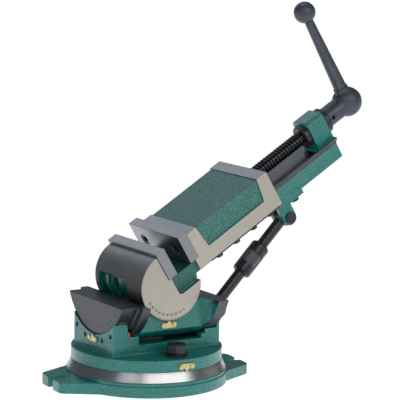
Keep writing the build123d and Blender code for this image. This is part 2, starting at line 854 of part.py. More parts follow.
moving_sink_floor = moving_plate_face + plate_screw_sink
with BuildPart() as moving_plate_screws:
    with BuildSketch(bed_section(moving_sink_floor)) as moving_screw_head_sketch:
        with Locations(*plate_screw_points()):
            Circle(plate_screw_head_radius)
    extrude(amount=-plate_screw_head_height)
    with BuildSketch(bed_section(moving_sink_floor)) as moving_screw_shank_sketch:
        with Locations(*plate_screw_points()):
            Circle(plate_screw_radius)
    extrude(amount=plate_screw_length)
    with BuildSketch(bed_section(moving_sink_floor - plate_screw_head_height)) as moving_key_sketch:
        with Locations(*plate_screw_points()):
            RegularPolygon(plate_screw_key / 2, 6, major_radius=False)
    extrude(amount=plate_screw_head_height / 2, mode=Mode.SUBTRACT)

moving_plate_screws.part.label = "moving_plate_screws"
export_step(moving_plate_screws.part, "parts/moving_plate_screws.step")

# Moving jaw: a box open below and behind that rides on the rails, with cast recesses outside
saddle_top = rail_top + sliding_gap
toe_relief_top = rail_top + toe_relief_gap
saddle_section = mirrored(
    rail_outline(saddle_top, 2 * sliding_gap) + [(web_half_width + 2 * sliding_gap, jaw_bottom - 1)]
)
cavity_top = jaw_top - jaw_roof
cavity_front = moving_plate_back + jaw_front_wall
jaw_front = moving_plate_back - jaw_toe
moving_tap_depth = plate_screw_length + plate_screw_sink - plate_thickness
keeper_start = jaw_front + toe_relief_length + 1.0
keeper_length = jaw_rear - keeper_start - 1.0
keeper_screw_pitch = keeper_length / keeper_screw_count
keeper_screw_places = [
    (keeper_start + keeper_screw_pitch * (index + 0.5), side * keeper_screw_row)
    for index in range(keeper_screw_count)
    for side in (-1, 1)
]
keeper_bottom = jaw_bottom - keeper_thickness
keeper_tap_depth = keeper_screw_length - keeper_thickness

with BuildPart() as moving_jaw:
    with BuildSketch(bed_side(jaw_half_width)) as jaw_sketch:
        with BuildLine():
            Polyline(
                (jaw_front, jaw_bottom),
                (jaw_rear, jaw_bottom),
                (jaw_rear, jaw_top),
                (moving_plate_back, jaw_top),
                (moving_plate_back, plate_bottom - seat_gap),
                (jaw_front, plate_bottom - seat_gap),
                close=True,
            )
        make_face()
    extrude(amount=2 * jaw_half_width)
    with BuildSketch(bed_section(jaw_front)) as saddle_sketch:
        with BuildLine():
            Polyline(*saddle_section, close=True)
        make_face()
    extrude(amount=jaw_rear - jaw_front, mode=Mode.SUBTRACT)
    with BuildSketch(bed_section(jaw_front)) as toe_relief_sketch:
        with Locations((0, toe_relief_top)):
            Rectangle(
                2 * toe_relief_half_width,
                toe_relief_top - jaw_bottom,
                align=(Align.CENTER, Align.MAX),
            )
    extrude(amount=toe_relief_length, mode=Mode.SUBTRACT)
    with BuildSketch(bed_section(cavity_front)) as cavity_sketch:
        with Locations((0, cavity_top)):
            Rectangle(
                2 * jaw_cavity_half_width,
                cavity_top - saddle_top,
                align=(Align.CENTER, Align.MAX),
            )
    extrude(amount=jaw_rear - cavity_front, mode=Mode.SUBTRACT)
    with BuildSketch(bed_level(jaw_top)) as top_recess_sketch:
        with Locations((moving_plate_back + jaw_length / 2, 0)):
            Rectangle(jaw_length - 2 * jaw_band, 2 * jaw_half_width)
    extrude(amount=-top_recess, mode=Mode.SUBTRACT)
    recess_left = moving_plate_back + jaw_band
    recess_right = jaw_rear - jaw_band
    for side in (-1, 1):
        side_plane = bed_side(-jaw_half_width + side_recess if side < 0 else jaw_half_width)
        with BuildSketch(side_plane) as side_recess_sketch:
            with BuildLine():
                Polyline(
                    (recess_left, jaw_top),
                    (recess_left + side_recess_slant, side_recess_bottom),
                    (recess_right - side_recess_slant, side_recess_bottom),
                    (recess_right, jaw_top),
                    close=True,
                )
            make_face()
        extrude(amount=side_recess, mode=Mode.SUBTRACT)
    with BuildSketch(bed_section(moving_plate_back)) as moving_tap_sketch:
        with Locations(*plate_screw_points()):
            Circle(plate_screw_radius + seat_gap)
    extrude(amount=moving_tap_depth, mode=Mode.SUBTRACT)
    with BuildSketch(bed_level(jaw_bottom)) as keeper_tap_sketch:
        with Locations(*keeper_screw_places):
            Circle(keeper_screw_radius + seat_gap)
    extrude(amount=keeper_tap_depth, mode=Mode.SUBTRACT)

moving_jaw.part.label = "moving_jaw"
export_step(moving_jaw.part, "parts/moving_jaw.step")

# Keepers: strips under the moving jaw that hook below the rails, with their screws
keeper_middle = (keeper_inner + keeper_outer) / 2
with BuildPart() as keepers:
    with BuildSketch(bed_level(jaw_bottom)) as keeper_sketch:
        with Locations(
            (keeper_start + keeper_length / 2, -keeper_middle),
            (keeper_start + keeper_length / 2, keeper_middle),
        ):
            Rectangle(keeper_length, keeper_outer - keeper_inner)
    extrude(amount=-keeper_thickness)
    with BuildSketch(bed_level(jaw_bottom)) as keeper_hole_sketch:
        with Locations(*keeper_screw_places):
            Circle(keeper_screw_radius + seat_gap)
    extrude(amount=-keeper_thickness, mode=Mode.SUBTRACT)

keepers.part.label = "keepers"
export_step(keepers.part, "parts/keepers.step")

with BuildPart() as keeper_screws:
    with BuildSketch(bed_level(keeper_bottom)) as keeper_head_sketch:
        with Locations(*keeper_screw_places):
            Circle(keeper_screw_head_radius)
    extrude(amount=-keeper_screw_head_height)
    with BuildSketch(bed_level(keeper_bottom)) as keeper_shank_sketch:
        with Locations(*keeper_screw_places):
            Circle(keeper_screw_radius)
    extrude(amount=keeper_screw_length)

keeper_screws.part.label = "keeper_screws"
export_step(keeper_screws.part, "parts/keeper_screws.step")

# Nut of the lead screw: a bronze block under the roof of the moving jaw
nut_start = jaw_rear - nut_length
with BuildPart() as screw_nut:
    with BuildSketch(bed_section(nut_start)) as nut_block_sketch:
        with Locations((0, cavity_top)):
            Rectangle(
                2 * nut_half_width,
                cavity_top - saddle_top - side_gap,
                align=(Align.CENTER, Align.MAX),
            )
    extrude(amount=nut_length)
    with BuildSketch(screw_section(nut_start)) as nut_bore_sketch:
        Circle(screw_radius + running_gap)
    extrude(amount=nut_length, mode=Mode.SUBTRACT)

screw_nut.part.label = "screw_nut"
export_step(screw_nut.part, "parts/screw_nut.step")

# Lead screw: the threaded length, then a thinner journal through the block and into the hub
collar_start = block_start - inner_collar_length - sliding_gap
outer_collar_start = bed_end + sliding_gap
hub_start = outer_collar_start + outer_collar_length
crank_reach = hub_start + hub_neck_length

with BuildPart() as lead_screw:
    with BuildSketch(screw_section(screw_start)) as screw_sketch:
        Circle(screw_radius)
    extrude(amount=collar_start - screw_start)
    with BuildSketch(screw_section(collar_start)) as shaft_sketch:
        Circle(journal_shaft_radius)
    extrude(amount=crank_reach - collar_start)
    chamfer(lead_screw.faces().sort_by(Axis(bed_point(0, 0, 0), along))[0].edges(), length=1.5)

lead_screw.part.label = "lead_screw"
export_step(lead_screw.part, "parts/lead_screw.step")

with BuildPart() as bearing_bush:
    with BuildSketch(screw_section(block_start)) as bush_sketch:
        Circle(bush_radius)
        Circle(journal_shaft_radius + running_gap, mode=Mode.SUBTRACT)
    extrude(amount=block_length)

bearing_bush.part.label = "bearing_bush"
export_step(bearing_bush.part, "parts/bearing_bush.step")

with BuildPart() as inner_collar:
    with BuildSketch(screw_section(collar_start)) as inner_collar_sketch:
        Circle(inner_collar_radius)
        Circle(journal_shaft_radius + seat_gap, mode=Mode.SUBTRACT)
    extrude(amount=inner_collar_length)
    chamfer(inner_collar.edges().filter_by(GeomType.CIRCLE).group_by(SortBy.RADIUS)[-1], length=1.0)

inner_collar.part.label = "inner_collar"
export_step(inner_collar.part, "parts/inner_collar.step")

with BuildPart() as outer_collar:
    with BuildSketch(screw_section(outer_collar_start)) as outer_collar_sketch:
        Circle(outer_collar_radius)
        Circle(journal_shaft_radius + seat_gap, mode=Mode.SUBTRACT)
    extrude(amount=outer_collar_length)
    chamfer(outer_collar.edges().filter_by(GeomType.CIRCLE).group_by(SortBy.RADIUS)[-1], length=1.5)

outer_collar.part.label = "outer_collar"
export_step(outer_collar.part, "parts/outer_collar.step")

# Crank: a hub with a round head, a tapered lever and a ball
crank_centre = bed_point(crank_reach, 0, screw_height)
lever_foot = socket_height
lever_line = Plane(origin=crank_centre, x_dir=along, z_dir=(0, -1, 0))

with BuildPart() as crank_hub:
    with BuildSketch(screw_section(hub_start)) as neck_sketch:
        Circle(hub_neck_radius)
    extrude(amount=hub_neck_length)
    with BuildSketch(lever_line) as head_sketch:
        with BuildLine():
            CenterArc((0, 0), hub_head_radius, 0, 180)
            Line((-hub_head_radius, 0), (hub_head_radius, 0))
        make_face()
    revolve(axis=Axis(crank_centre, along))
    with BuildSketch(Plane(origin=crank_centre, x_dir=along, z_dir=upward)) as socket_sketch:
        Circle(socket_radius)
    extrude(amount=socket_height)
    with BuildSketch(screw_section(hub_start)) as shaft_hole_sketch:
        Circle(journal_shaft_radius + seat_gap)
    extrude(amount=hub_neck_length, mode=Mode.SUBTRACT)
    spigot_floor = Plane(
        origin=bed_point(crank_reach, 0, screw_height + socket_height), x_dir=along, z_dir=upward
    )
    with BuildSketch(spigot_floor) as spigot_hole_sketch:
        Circle(lever_spigot_radius + seat_gap)
    extrude(amount=-lever_spigot_length - seat_gap, mode=Mode.SUBTRACT)
    hub_pin_plane = bed_side(hub_neck_radius)
    hub_pin_place = (hub_start + hub_neck_radius / 2, screw_height)
    with BuildSketch(hub_pin_plane) as hub_pin_hole_sketch:
        with Locations(hub_pin_place):
            Circle(hub_pin_radius + seat_gap)
    extrude(amount=2 * hub_neck_radius, mode=Mode.SUBTRACT)

crank_hub.part.label = "crank_hub"
export_step(crank_hub.part, "parts/crank_hub.step")

ball_seat = ball_height - sqrt(ball_radius**2 - lever_top_radius**2)
with BuildPart() as crank_lever:
    with BuildSketch(lever_line) as lever_sketch:
        with BuildLine():
            Polyline(
                (0, lever_foot - lever_spigot_length),
                (lever_spigot_radius, lever_foot - lever_spigot_length),
                (lever_spigot_radius, lever_foot),
                (lever_foot_radius, lever_foot),
                (lever_top_radius, ball_seat),
                (0, ball_seat),
                close=True,
            )
        make_face()
    revolve(axis=Axis(crank_centre, upward))

crank_lever.part.label = "crank_lever"
export_step(crank_lever.part, "parts/crank_lever.step")

with BuildPart() as ball_knob:
    with BuildSketch(lever_line) as ball_sketch:
        with BuildLine():
            CenterArc((0, ball_height), ball_radius, -90, 180)
            Line((0, ball_height - ball_radius), (0, ball_height + ball_radius))
        make_face()
    revolve(axis=Axis(crank_centre, upward))
    with BuildSketch(lever_line) as ball_flat_sketch:
        with Locations((0, ball_seat)):
            Rectangle(2 * ball_radius, ball_radius, align=(Align.CENTER, Align.MAX))
    extrude(amount=ball_radius, both=True, mode=Mode.SUBTRACT)

ball_knob.part.label = "ball_knob"
export_step(ball_knob.part, "parts/ball_knob.step")

# Pin through the hub beside the shaft's flat end, as a taper pin of the crank
with BuildPart() as hub_pin:
    with BuildSketch(hub_pin_plane) as hub_pin_sketch:
        with Locations(hub_pin_place):
            Circle(hub_pin_radius)
    extrude(amount=hub_neck_radius - journal_shaft_radius)

hub_pin.part.label = "hub_pin"
export_step(hub_pin.part, "parts/hub_pin.step")

# Strut: an eye rod at each end and a turnbuckle nut between them
buckle_end = buckle_start + buckle_length
groove_start = buckle_start + swivel_groove_place - swivel_groove_width / 2
groove_radius = strut_rod_radius - swivel_groove_depth

with BuildPart() as lower_eye_rod:
    with BuildSketch(cross_plane(lower_pivot, eye_half_width)) as lower_eye_sketch:
        Circle(eye_radius)
    extrude(amount=2 * eye_half_width)
    with BuildSketch(strut_section(0)) as lower_rod_sketch:
        Circle(strut_rod_radius)
    extrude(amount=buckle_start + lower_rod_insertion)
    with BuildSketch(strut_section(groove_start)) as rod_groove_sketch:
        Circle(strut_rod_radius + 1.0)
        Circle(groove_radius, mode=Mode.SUBTRACT)
    extrude(amount=swivel_groove_width, mode=Mode.SUBTRACT)
    with BuildSketch(cross_plane(lower_pivot, eye_half_width)) as lower_eye_hole_sketch:
        Circle(strut_pin_radius + running_gap)
    extrude(amount=2 * eye_half_width, mode=Mode.SUBTRACT)

lower_eye_rod.part.label = "lower_eye_rod"
export_step(lower_eye_rod.part, "parts/lower_eye_rod.step")

with BuildPart() as turnbuckle_nut:
    with BuildSketch(strut_section(buckle_start)) as buckle_sketch:
        Circle(buckle_radius)
    extrude(amount=buckle_length)
    chamfer(turnbuckle_nut.edges().filter_by(GeomType.CIRCLE), length=buckle_chamfer)
    flat_start = buckle_start + (buckle_length - buckle_flat_length) / 2
    with BuildSketch(strut_section(flat_start)) as flat_sketch:
        Circle(buckle_radius + 1.0)
        RegularPolygon(buckle_flat_width / 2, 6, major_radius=False, mode=Mode.SUBTRACT)
    extrude(amount=buckle_flat_length, mode=Mode.SUBTRACT)
    with BuildSketch(strut_section(buckle_start)) as buckle_bore_sketch:
        Circle(strut_rod_radius + running_gap)
    extrude(amount=buckle_length, mode=Mode.SUBTRACT)
    retainer_plane = Plane(
        origin=lower_pivot + strut_line * (buckle_start + swivel_groove_place) - strut_side * buckle_radius,
        x_dir=strut_line,
        z_dir=(0, -1, 0),
    )
    with BuildSketch(retainer_plane) as retainer_hole_sketch:
        Circle(swivel_groove_width / 2)
    extrude(amount=-buckle_radius, mode=Mode.SUBTRACT)

turnbuckle_nut.part.label = "turnbuckle_nut"
export_step(turnbuckle_nut.part, "parts/turnbuckle_nut.step")

# Retainer: a small screw in the nut whose tip runs in the groove of the lower rod
retainer_radius = swivel_groove_width / 2 - seat_gap
with BuildPart() as buckle_retainer:
    with BuildSketch(retainer_plane.offset(-1.0)) as retainer_sketch:
        Circle(retainer_radius)
    extrude(amount=-(buckle_radius - groove_radius - 1.0 - running_gap))

buckle_retainer.part.label = "buckle_retainer"
export_step(buckle_retainer.part, "parts/buckle_retainer.step")

with BuildPart() as upper_eye_rod:
    with BuildSketch(cross_plane(upper_pivot, eye_half_width)) as upper_eye_sketch:
        Circle(eye_radius)
    extrude(amount=2 * eye_half_width)
    with BuildSketch(strut_section(buckle_end - upper_rod_insertion)) as upper_rod_sketch:
        Circle(strut_rod_radius)
    extrude(amount=strut_length - buckle_end + upper_rod_insertion)
    with BuildSketch(cross_plane(upper_pivot, eye_half_width)) as upper_eye_hole_sketch:
        Circle(strut_pin_radius + open_pivot_clearance)
    extrude(amount=2 * eye_half_width, mode=Mode.SUBTRACT)

upper_eye_rod.part.label = "upper_eye_rod"
export_step(upper_eye_rod.part, "parts/upper_eye_rod.step")

# Pivot pins of the strut: a head at each side of the lugs
with BuildPart() as lower_strut_pin:
    with BuildSketch(cross_plane(lower_pivot, lug_outer + pin_head_length)) as lower_pin_sketch:
        Circle(strut_pin_radius)
    extrude(amount=2 * (lug_outer + pin_head_length))
    for head_start in (lug_outer + pin_head_length, -lug_outer):
        with BuildSketch(cross_plane(lower_pivot, head_start)) as lower_pin_head_sketch:
            Circle(pin_head_radius)
        extrude(amount=pin_head_length)

lower_strut_pin.part.label = "lower_strut_pin"
export_step(lower_strut_pin.part, "parts/lower_strut_pin.step")

with BuildPart() as upper_strut_pin:
    with BuildSketch(cross_plane(upper_pivot, lug_outer + pin_head_length)) as upper_pin_sketch:
        Circle(strut_pin_radius)
    extrude(amount=2 * (lug_outer + pin_head_length))
    for head_start in (lug_outer + pin_head_length, -lug_outer):
        with BuildSketch(cross_plane(upper_pivot, head_start)) as upper_pin_head_sketch:
            Circle(pin_head_radius)
        extrude(amount=pin_head_length)

upper_strut_pin.part.label = "upper_strut_pin"
export_step(upper_strut_pin.part, "parts/upper_strut_pin.step")

pad_screw_points = [(pad_screw_place, -pad_screw_spacing / 2), (pad_screw_place, pad_screw_spacing / 2)]
with BuildPart() as pad_screws:
    with BuildSketch(bed_level(bed_bottom - pad_height)) as pad_head_sketch:
        with Locations(*pad_screw_points):
            Circle(pad_screw_head_radius)
    extrude(amount=-pad_screw_head_height)
    with BuildSketch(bed_level(bed_bottom - pad_height)) as pad_shank_sketch:
        with Locations(*pad_screw_points):
            Circle(pad_screw_radius)
    extrude(amount=pad_screw_length)

pad_screws.part.label = "pad_screws"
export_step(pad_screws.part, "parts/pad_screws.step")


# Pointers: flat brass arrows, each with two rivets, and a curved one on the swivel flange
with BuildPart() as tilt_pointer:
    with BuildSketch(tilt_pointer_plane) as tilt_pointer_sketch:
        with BuildLine():
            Polyline(*pointer_outline(), close=True)
        make_face()
        with Locations(*rivet_points):
            Circle(pointer_lobe_radius)
            Circle(rivet_radius + seat_gap, mode=Mode.SUBTRACT)
    extrude(amount=pointer_thickness)

tilt_pointer.part.label = "tilt_pointer"
export_step(tilt_pointer.part, "parts/tilt_pointer.step")

with BuildPart() as roll_pointer:
    with BuildSketch(roll_pointer_plane) as roll_pointer_sketch:
        with BuildLine():
            Polyline(*pointer_outline(), close=True)
        make_face()
        with Locations(*rivet_points):
            Circle(pointer_lobe_radius)
            Circle(rivet_radius + seat_gap, mode=Mode.SUBTRACT)
    extrude(amount=pointer_thickness)

roll_pointer.part.label = "roll_pointer"
export_step(roll_pointer.part, "parts/roll_pointer.step")

with BuildPart() as swivel_pointer:
    with BuildSketch(swivel_pointer_plane.offset(-pointer_width / 2)) as swivel_pointer_sketch:
        with BuildLine():
            Polyline(*pointer_outline(), close=True)
        make_face()
        with Locations(*rivet_points):
            Circle(pointer_lobe_radius)
            Circle(rivet_radius + seat_gap, mode=Mode.SUBTRACT)
    extrude(amount=pointer_width)
    with BuildSketch(Plane.XY.offset(swivel_bottom)) as pointer_bend_sketch:
        Circle(swivel_radius + pointer_thickness)
        Circle(swivel_radius + seat_gap, mode=Mode.SUBTRACT)
    extrude(amount=swivel_flange_height, mode=Mode.INTERSECT)

swivel_pointer.part.label = "swivel_pointer"
export_step(swivel_pointer.part, "parts/swivel_pointer.step")

# Rivets of the two pointers on the swivel body, and of the one on the cradle
with BuildPart() as pointer_rivets:
    for rivet_plane in (roll_pointer_plane, swivel_pointer_plane):
        with BuildSketch(rivet_plane.offset(pointer_thickness)) as rivet_head_sketch:
            with Locations(*rivet_points):
                Circle(2 * rivet_radius)
        extrude(amount=rivet_head_height)
        with BuildSketch(rivet_plane.offset(pointer_thickness)) as rivet_shank_sketch:
            with Locations(*rivet_points):
                Circle(rivet_radius)
        extrude(amount=-rivet_length)

pointer_rivets.part.label = "pointer_rivets"
export_step(pointer_rivets.part, "parts/pointer_rivets.step")

with BuildPart() as tilt_pointer_rivets:
    with BuildSketch(tilt_pointer_plane.offset(pointer_thickness)) as tilt_rivet_head_sketch:
        with Locations(*rivet_points):
            Circle(2 * rivet_radius)
    extrude(amount=rivet_head_height)
    with BuildSketch(tilt_pointer_plane.offset(pointer_thickness)) as tilt_rivet_shank_sketch:
        with Locations(*rivet_points):
            Circle(rivet_radius)
    extrude(amount=-rivet_length)

tilt_pointer_rivets.part.label = "tilt_pointer_rivets"
export_step(tilt_pointer_rivets.part, "parts/tilt_pointer_rivets.step")

with BuildPart() as copper_plug:
    with BuildSketch(Plane.XY.offset(plug_bottom)) as plug_sketch:
        with Locations((plug_place, plug_across)):
            Circle(plug_radius)
    extrude(amount=plug_length)

copper_plug.part.label = "copper_plug"
export_step(copper_plug.part, "parts/copper_plug.step")
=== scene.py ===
"""Finishes, graduations, threads and studio for the three-axis vise.

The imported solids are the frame. Each sub-assembly below takes its solids, rounds their edges, gives every
face the finish that the real one has there, and adds what the solids leave out: screw threads, engraved
scales and their numbers.
"""

import json
import logging
import math
from dataclasses import dataclass
from enum import Enum
from functools import cache, cached_property
from typing import Callable, Iterable, Sequence

import bmesh
import bpy
from mathutils import Matrix, Vector


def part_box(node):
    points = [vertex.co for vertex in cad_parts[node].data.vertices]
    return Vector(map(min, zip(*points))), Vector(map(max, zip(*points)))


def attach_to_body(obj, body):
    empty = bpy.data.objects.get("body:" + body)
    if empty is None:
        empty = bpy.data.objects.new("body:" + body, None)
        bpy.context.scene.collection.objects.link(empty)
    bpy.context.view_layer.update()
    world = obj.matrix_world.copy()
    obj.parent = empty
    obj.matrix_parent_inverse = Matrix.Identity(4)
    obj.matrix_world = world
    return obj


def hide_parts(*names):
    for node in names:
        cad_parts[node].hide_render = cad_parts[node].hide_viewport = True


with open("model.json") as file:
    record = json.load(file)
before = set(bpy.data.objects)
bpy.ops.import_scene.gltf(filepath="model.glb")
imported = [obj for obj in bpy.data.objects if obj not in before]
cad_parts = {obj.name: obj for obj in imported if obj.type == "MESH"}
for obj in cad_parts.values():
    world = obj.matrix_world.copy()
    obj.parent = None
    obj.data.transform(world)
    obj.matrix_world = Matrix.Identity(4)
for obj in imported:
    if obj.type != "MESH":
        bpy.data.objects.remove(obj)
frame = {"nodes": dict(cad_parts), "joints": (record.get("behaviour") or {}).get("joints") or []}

log = logging.getLogger("vise")

MM = 0.001

# A face looks along a direction above the first cosine, and is square to it below the second
FACES_IT = 0.98
SQUARE_TO_IT = 0.2
# How far the middle of a facet may lie from the round that it belongs to
NEAR_MM = 0.6

# Corners that turn less than this aren't rounded, and a rounding takes at most this share of a wall
ROUND_FROM_DEGREES = 32
WALL_SHARE = 0.35
ROUNDING_STEPS = 2
# Corners that turn more than this stay sharp in the shading
SHARP_FROM_DEGREES = 30
# How strongly large faces set the shading along their rims, where 50 favours none
LARGE_FACE_PULL = 90

# Points closer than this become one, and points this close to a cutting plane count as on it
MERGE_MM = 0.004
CUT_MM = 0.001
# Faces that turn less than this become one, and those above this cosine belong to one flat area
LEVEL_DEGREES = 0.5
LEVEL = 0.99999

# How high above the line that the bed tilts about the painted shade on the drum's lands begins
SHADE_CLIMB_MM = 40


# Frame helpers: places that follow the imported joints


@cache
def joint(name: str) -> dict:
    """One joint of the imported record.

    Args:
        name: The joint's name.

    Returns:
        The joint's entry, with its axis and place.
    """
    return next(entry for entry in frame["joints"] if entry["name"] == name)


@dataclass(frozen=True)
class BedAxes:
    """The bed's own directions: along the rails, across them, and up from them."""

    centre: Vector
    along: Vector
    upward: Vector

    @classmethod
    def from_joints(cls) -> "BedAxes":
        """The directions at rest, from the jaw's slide and the bed's hinge."""
        along = Vector(joint("jaw_slide")["axis"]).normalized()
        return cls(Vector(joint("bed_tilt")["pos_m"]), along, Vector((-along.z, 0.0, along.x)))

    def point(self, x: float, y: float, z: float) -> Vector:
        """A place in metres, from millimetres along, across and up."""
        return self.centre + self.along * x * MM + Vector((0, y * MM, 0)) + self.upward * z * MM

    def local(self, place: Vector) -> Vector:
        """Millimetres along, across and up, from a place in metres."""
        return self.turn(place - self.centre) / MM

    def turn(self, direction: Vector) -> Vector:
        """A direction of the vise's frame, seen along, across and up."""
        return Vector((direction.dot(self.along), direction.y, direction.dot(self.upward)))

    def span(self, node: str) -> tuple[float, float]:
        """How far a solid reaches along the rails, in millimetres.

        Args:
            node: The solid's node.

        Returns:
            Its lowest and its highest place along the rails.
        """
        places = [self.local(vertex.co).x for vertex in frame["nodes"][node].data.vertices]
        return min(places), max(places)


def roll_reach(place: Vector) -> float:
    """Distance in millimetres from the line that the cradle rolls about."""
    axis = Vector(joint("cradle_roll")["pos_m"])
    return math.hypot(place.y - axis.y, place.z - axis.z) / MM


def tilt_reach(place: Vector) -> float:
    """Distance in millimetres from the line that the bed tilts about."""
    axis = Vector(joint("bed_tilt")["pos_m"])
    return math.hypot(place.x - axis.x, place.z - axis.z) / MM


def placement(origin: Vector, x_axis: Vector, z_axis: Vector) -> Matrix:
    """A placement from an origin and two square directions.

    Args:
        origin: Where the placement's origin goes, in metres.
        x_axis: Direction of its X axis.
        z_axis: Direction of its Z axis.

    Returns:
        The 4 by 4 matrix.
    """
    x_axis, z_axis = x_axis.normalized(), z_axis.normalized()
    y_axis = z_axis.cross(x_axis)
    turn = Matrix((x_axis, y_axis, z_axis)).transposed()
    return Matrix.Translation(origin) @ turn.to_4x4()


# Materials


def linear(code: str) -> tuple[float, float, float, float]:
    """Turns a hex sRGB colour into linear light.

    Args:
        code: Six hex digits, with or without a leading #.

    Returns:
        Red, green, blue and an alpha of one.
    """
    digits = code.lstrip("#")
    channels = (int(digits[i : i + 2], 16) / 255 for i in (0, 2, 4))
    red, green, blue = (c / 12.92 if c <= 0.04045 else ((c + 0.055) / 1.055) ** 2.4 for c in channels)
    return red, green, blue, 1.0


def add_node(
    tree: bpy.types.NodeTree, kind: str, settings: dict | None = None, links: dict | None = None
) -> bpy.types.Node:
    """Adds one node to a tree, with its settings and incoming links.

    Args:
        tree: The shader or geometry tree.
        kind: The node's type name.
        settings: Attribute names, input names or input numbers, each with its value.
        links: Input names or numbers, each with the output socket that feeds it.

    Returns:
        The new node.
    """
    node = tree.nodes.new(kind)
    for key, value in (settings or {}).items():
        if isinstance(key, str) and hasattr(node, key):
            setattr(node, key, value)
        else:
            node.inputs[key].default_value = value
    for key, socket in (links or {}).items():
        tree.links.new(socket, node.inputs[key])
    return node


@dataclass(frozen=True)
class Finish:
    """What every finish has: a name and a shader of its own."""

    name: str

    def shade(self, tree: bpy.types.NodeTree, place: bpy.types.NodeSocket) -> bpy.types.Node:
        """Builds the surface shader. Each finish has its own.

        Args:
            tree: The material's tree.
            place: The object coordinates.

        Returns:
            The node whose first output is the surface.
        """
        raise NotImplementedError

    def patched(
        self,
        tree: bpy.types.NodeTree,
        place: bpy.types.NodeSocket,
        size_mm: float,
        detail: float,
        tones: tuple[str, str],
    ) -> tuple[bpy.types.NodeSocket, bpy.types.NodeSocket]:
        """One tone that drifts into another in soft patches.

        Args:
            tree: The material's tree.
            place: The object coordinates.
            size_mm: Size of a patch.
            detail: Steps of finer detail in its rim.
            tones: The two hex colours.

        Returns:
            The colour's socket and the patches' own.
        """
        patches = add_node(
            tree, "ShaderNodeTexNoise", {"Scale": 1 / (size_mm * MM), "Detail": detail}, {"Vector": place}
        )
        tone = add_node(
            tree,
            "ShaderNodeMix",
            {"data_type": "RGBA", 6: linear(tones[0]), 7: linear(tones[1])},
            {0: patches.outputs["Fac"]},
        )
        return tone.outputs[2], patches.outputs["Fac"]

    def build(self) -> bpy.types.Material:
        """The material, made once and then reused.

        Returns:
            The Blender material of this finish.
        """
        known = bpy.data.materials.get(self.name)
        if known:
            return known
        material = bpy.data.materials.new(self.name)
        material.use_nodes = True
        tree = material.node_tree
        tree.nodes.clear()
        coordinates = add_node(tree, "ShaderNodeTexCoord")
        surface = self.shade(tree, coordinates.outputs["Object"])
        add_node(tree, "ShaderNodeOutputMaterial", links={"Surface": surface.outputs[0]})
        return material


@dataclass(frozen=True)
class CastEnamel(Finish):
    """Thick machine enamel over sand-cast iron: glossy, and bumpy from the sand's grain below.

    The sand leaves lumps of one to two millimetres and a grain of half a millimetre. Both are drawn about
    twice as coarse, because finer ones don't show at the size of the render.
    """

    colour: str = "#076C67"
    lighter: str = "#0C7C76"
    # Painted highlight: the lumps' crests turn paler towards this colour
    crest: str = "#2F958B"
    lump_mm: float = 3.2
    grain_mm: float = 1.3
    bump_mm: float = 1.6
    roughness: float = 0.3
    coat: float = 0.35
    patch_mm: float = 14.0
    # The most that a crest turns towards its painted highlight
    crest_share: float = 0.5
    grain_depth: float = 0.3

    def shade(self, tree: bpy.types.NodeTree, place: bpy.types.NodeSocket) -> bpy.types.Node:
        """Two greens in soft patches, a painted highlight on the lumps' crests, and lumps with grain as bump.

        Args:
            tree: The material's tree.
            place: The object coordinates.

        Returns:
            The node whose first output is the surface.
        """
        tone, _patches = self.patched(tree, place, self.patch_mm, 3.0, (self.colour, self.lighter))
        lumps = add_node(
            tree, "ShaderNodeTexNoise", {"Scale": 1 / (self.lump_mm * MM), "Detail": 2.0}, {"Vector": place}
        )
        grain = add_node(
            tree, "ShaderNodeTexNoise", {"Scale": 1 / (self.grain_mm * MM), "Detail": 1.0}, {"Vector": place}
        )
        # Painted highlight on the lumps' crests, its share rising with their height
        thin = add_node(
            tree,
            "ShaderNodeMapRange",
            {"From Min": 0.5, "From Max": 0.75, "To Max": self.crest_share},
            {"Value": lumps.outputs["Fac"]},
        )
        crest_highlighted = add_node(
            tree, "ShaderNodeMix", {"data_type": "RGBA", 7: linear(self.crest)}, {0: thin.outputs[0], 6: tone}
        )
        coarse = add_node(
            tree,
            "ShaderNodeBump",
            {"Strength": 1.0, "Distance": self.bump_mm * MM},
            {"Height": lumps.outputs["Fac"]},
        )
        fine = add_node(
            tree,
            "ShaderNodeBump",
            {"Strength": 0.8, "Distance": self.grain_depth * self.bump_mm * MM},
            {"Height": grain.outputs["Fac"], "Normal": coarse.outputs["Normal"]},
        )
        return add_node(
            tree,
            "ShaderNodeBsdfPrincipled",
            {"Roughness": self.roughness, "Coat Weight": self.coat, "Coat Roughness": 0.1},
            {"Base Color": crest_highlighted.outputs[2], "Normal": fine.outputs["Normal"]},
        )


class ToolMarks(Enum):
    """How a metal face was cut, which sets the direction of its fine lines."""

    ALONG_BED = "lines along the rails"
    UPRIGHT = "lines straight up"
    TURNED_ABOUT_Y = "rings about the drum"
    TURNED_ABOUT_X = "rings about the cradle"
    TURNED_ABOUT_Z = "rings about the base"


